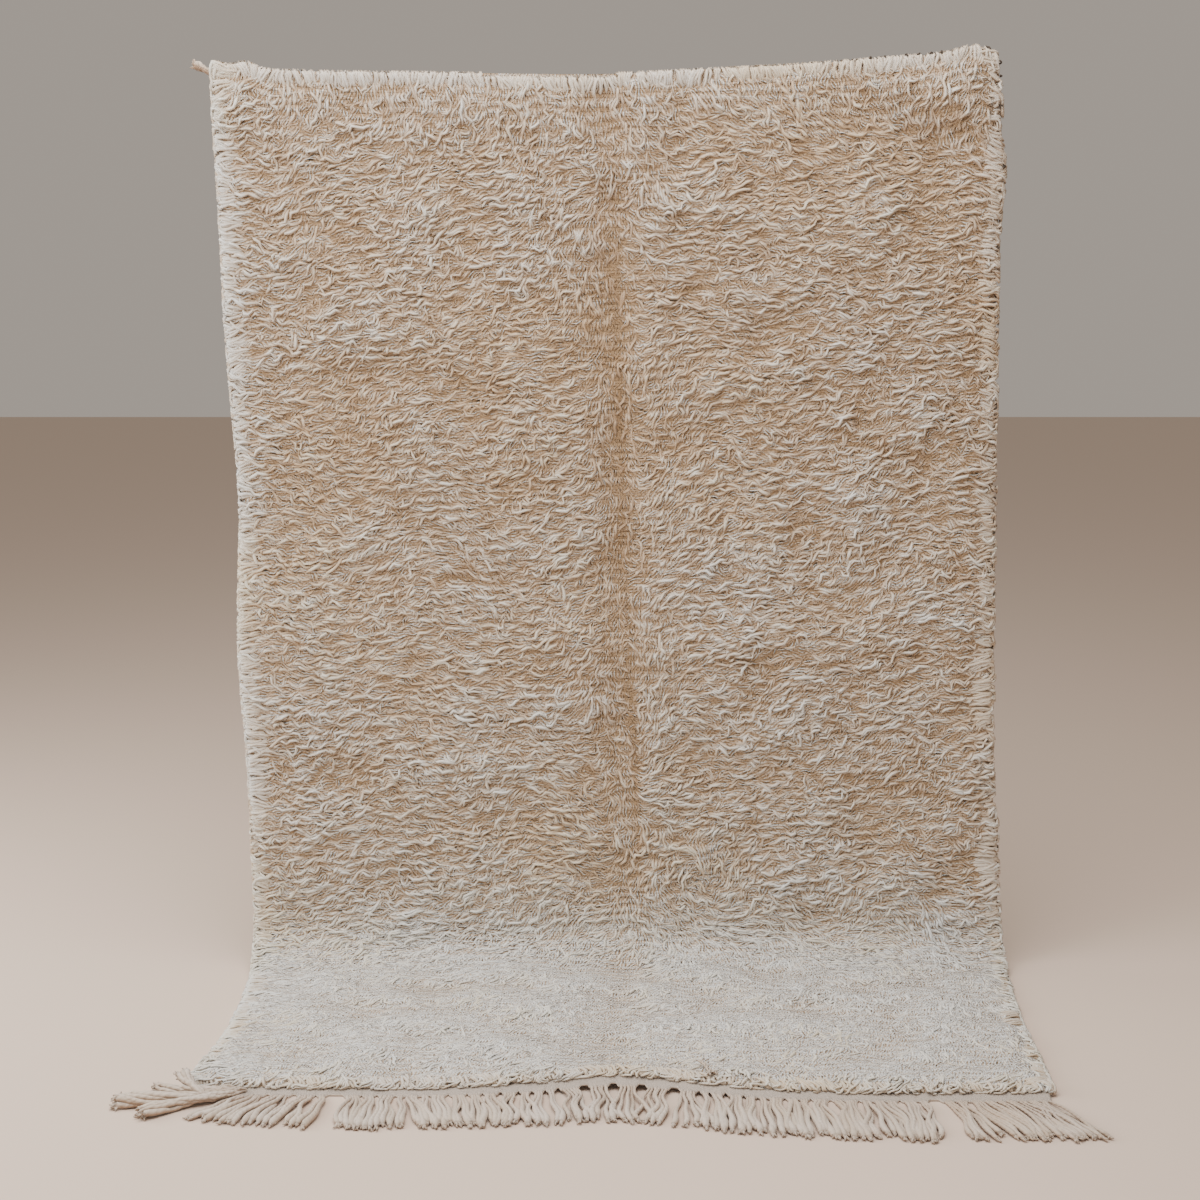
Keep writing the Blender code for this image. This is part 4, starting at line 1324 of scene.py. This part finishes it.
worn = [front_strip, front_fringe, back_strip, back_fringe, front_tassel, top_tassel, stitches, loose]
worn = pile_pieces + worn

# ----------------------------------------------------------------
# The studio: a plain pale floor and soft light from the upper left, with the camera where the rug is seen
# whole.
# ----------------------------------------------------------------
FLOOR_COLOUR = (0.70, 0.575, 0.49)
FLOOR_DROP = 0.0005
SKY_COLOUR = (1.0, 0.89, 0.78)
SKY_STRENGTH = 0.40

# Each lamp's name, place, what it is turned to, size, power and colour.
LAMPS = (
    ("key", (-3.2, -1.8, 2.7), (-0.3, 0.4, 0.9), 2.4, 68, (0.94, 0.95, 0.935)),
    ("left", (-3.0, 0.30, 1.2), (-0.75, 0.4, 1.0), 1.2, 54, (0.98, 0.93, 0.86)),
    ("overhead", (-0.3, -0.8, 3.3), (0.0, -0.1, 0.0), 2.8, 138, (1.0, 0.945, 0.895)),
    ("low", (0.0, -3.2, 0.9), (0.0, 0.4, 0.2), 2.0, 16, (1.0, 0.94, 0.88)),
)
CAMERA_PLACE = (MIDDLE_X, HANG_Y - 4.30, 1.54)
CAMERA_TILT = 10.3          # degrees down from level
CAMERA_LENS = 66.0

bm = bmesh.new()
bmesh.ops.create_grid(bm, x_segments=1, y_segments=1, size=12)
bmesh.ops.translate(bm, verts=bm.verts, vec=(0, 0, -FLOOR_DROP))
mesh = finish_mesh("floor", bm)
floor_material, tree, shader = new_material("pale_floor", 0.9, 0.0)
set_inputs(tree, shader, {"Base Color": (*FLOOR_COLOUR, 1.0)})
mesh.materials.append(floor_material)
floor = bpy.data.objects.new("floor", mesh)
bpy.context.scene.collection.objects.link(floor)

world = bpy.data.worlds.new("studio")
world.use_nodes = True
sky = world.node_tree.nodes["Background"]
set_inputs(world.node_tree, sky, {"Color": (*SKY_COLOUR, 1.0), "Strength": SKY_STRENGTH})
bpy.context.scene.world = world

for name, place, target, size, power, colour in LAMPS:
    lamp = bpy.data.lights.new(name, "AREA")
    lamp.size = size
    lamp.energy = power
    lamp.color = colour
    light = bpy.data.objects.new(name, lamp)
    light.location = place
    light.rotation_euler = (Vector(target) - Vector(place)).to_track_quat("-Z", "Y").to_euler()
    bpy.context.scene.collection.objects.link(light)

camera_data = bpy.data.cameras.new("camera")
camera_data.sensor_width = 36.0
camera_data.lens = CAMERA_LENS
camera = bpy.data.objects.new("camera", camera_data)
camera.location = CAMERA_PLACE
camera.rotation_euler = (math.radians(90 - CAMERA_TILT), 0, 0)
bpy.context.scene.collection.objects.link(camera)
bpy.context.scene.camera = camera
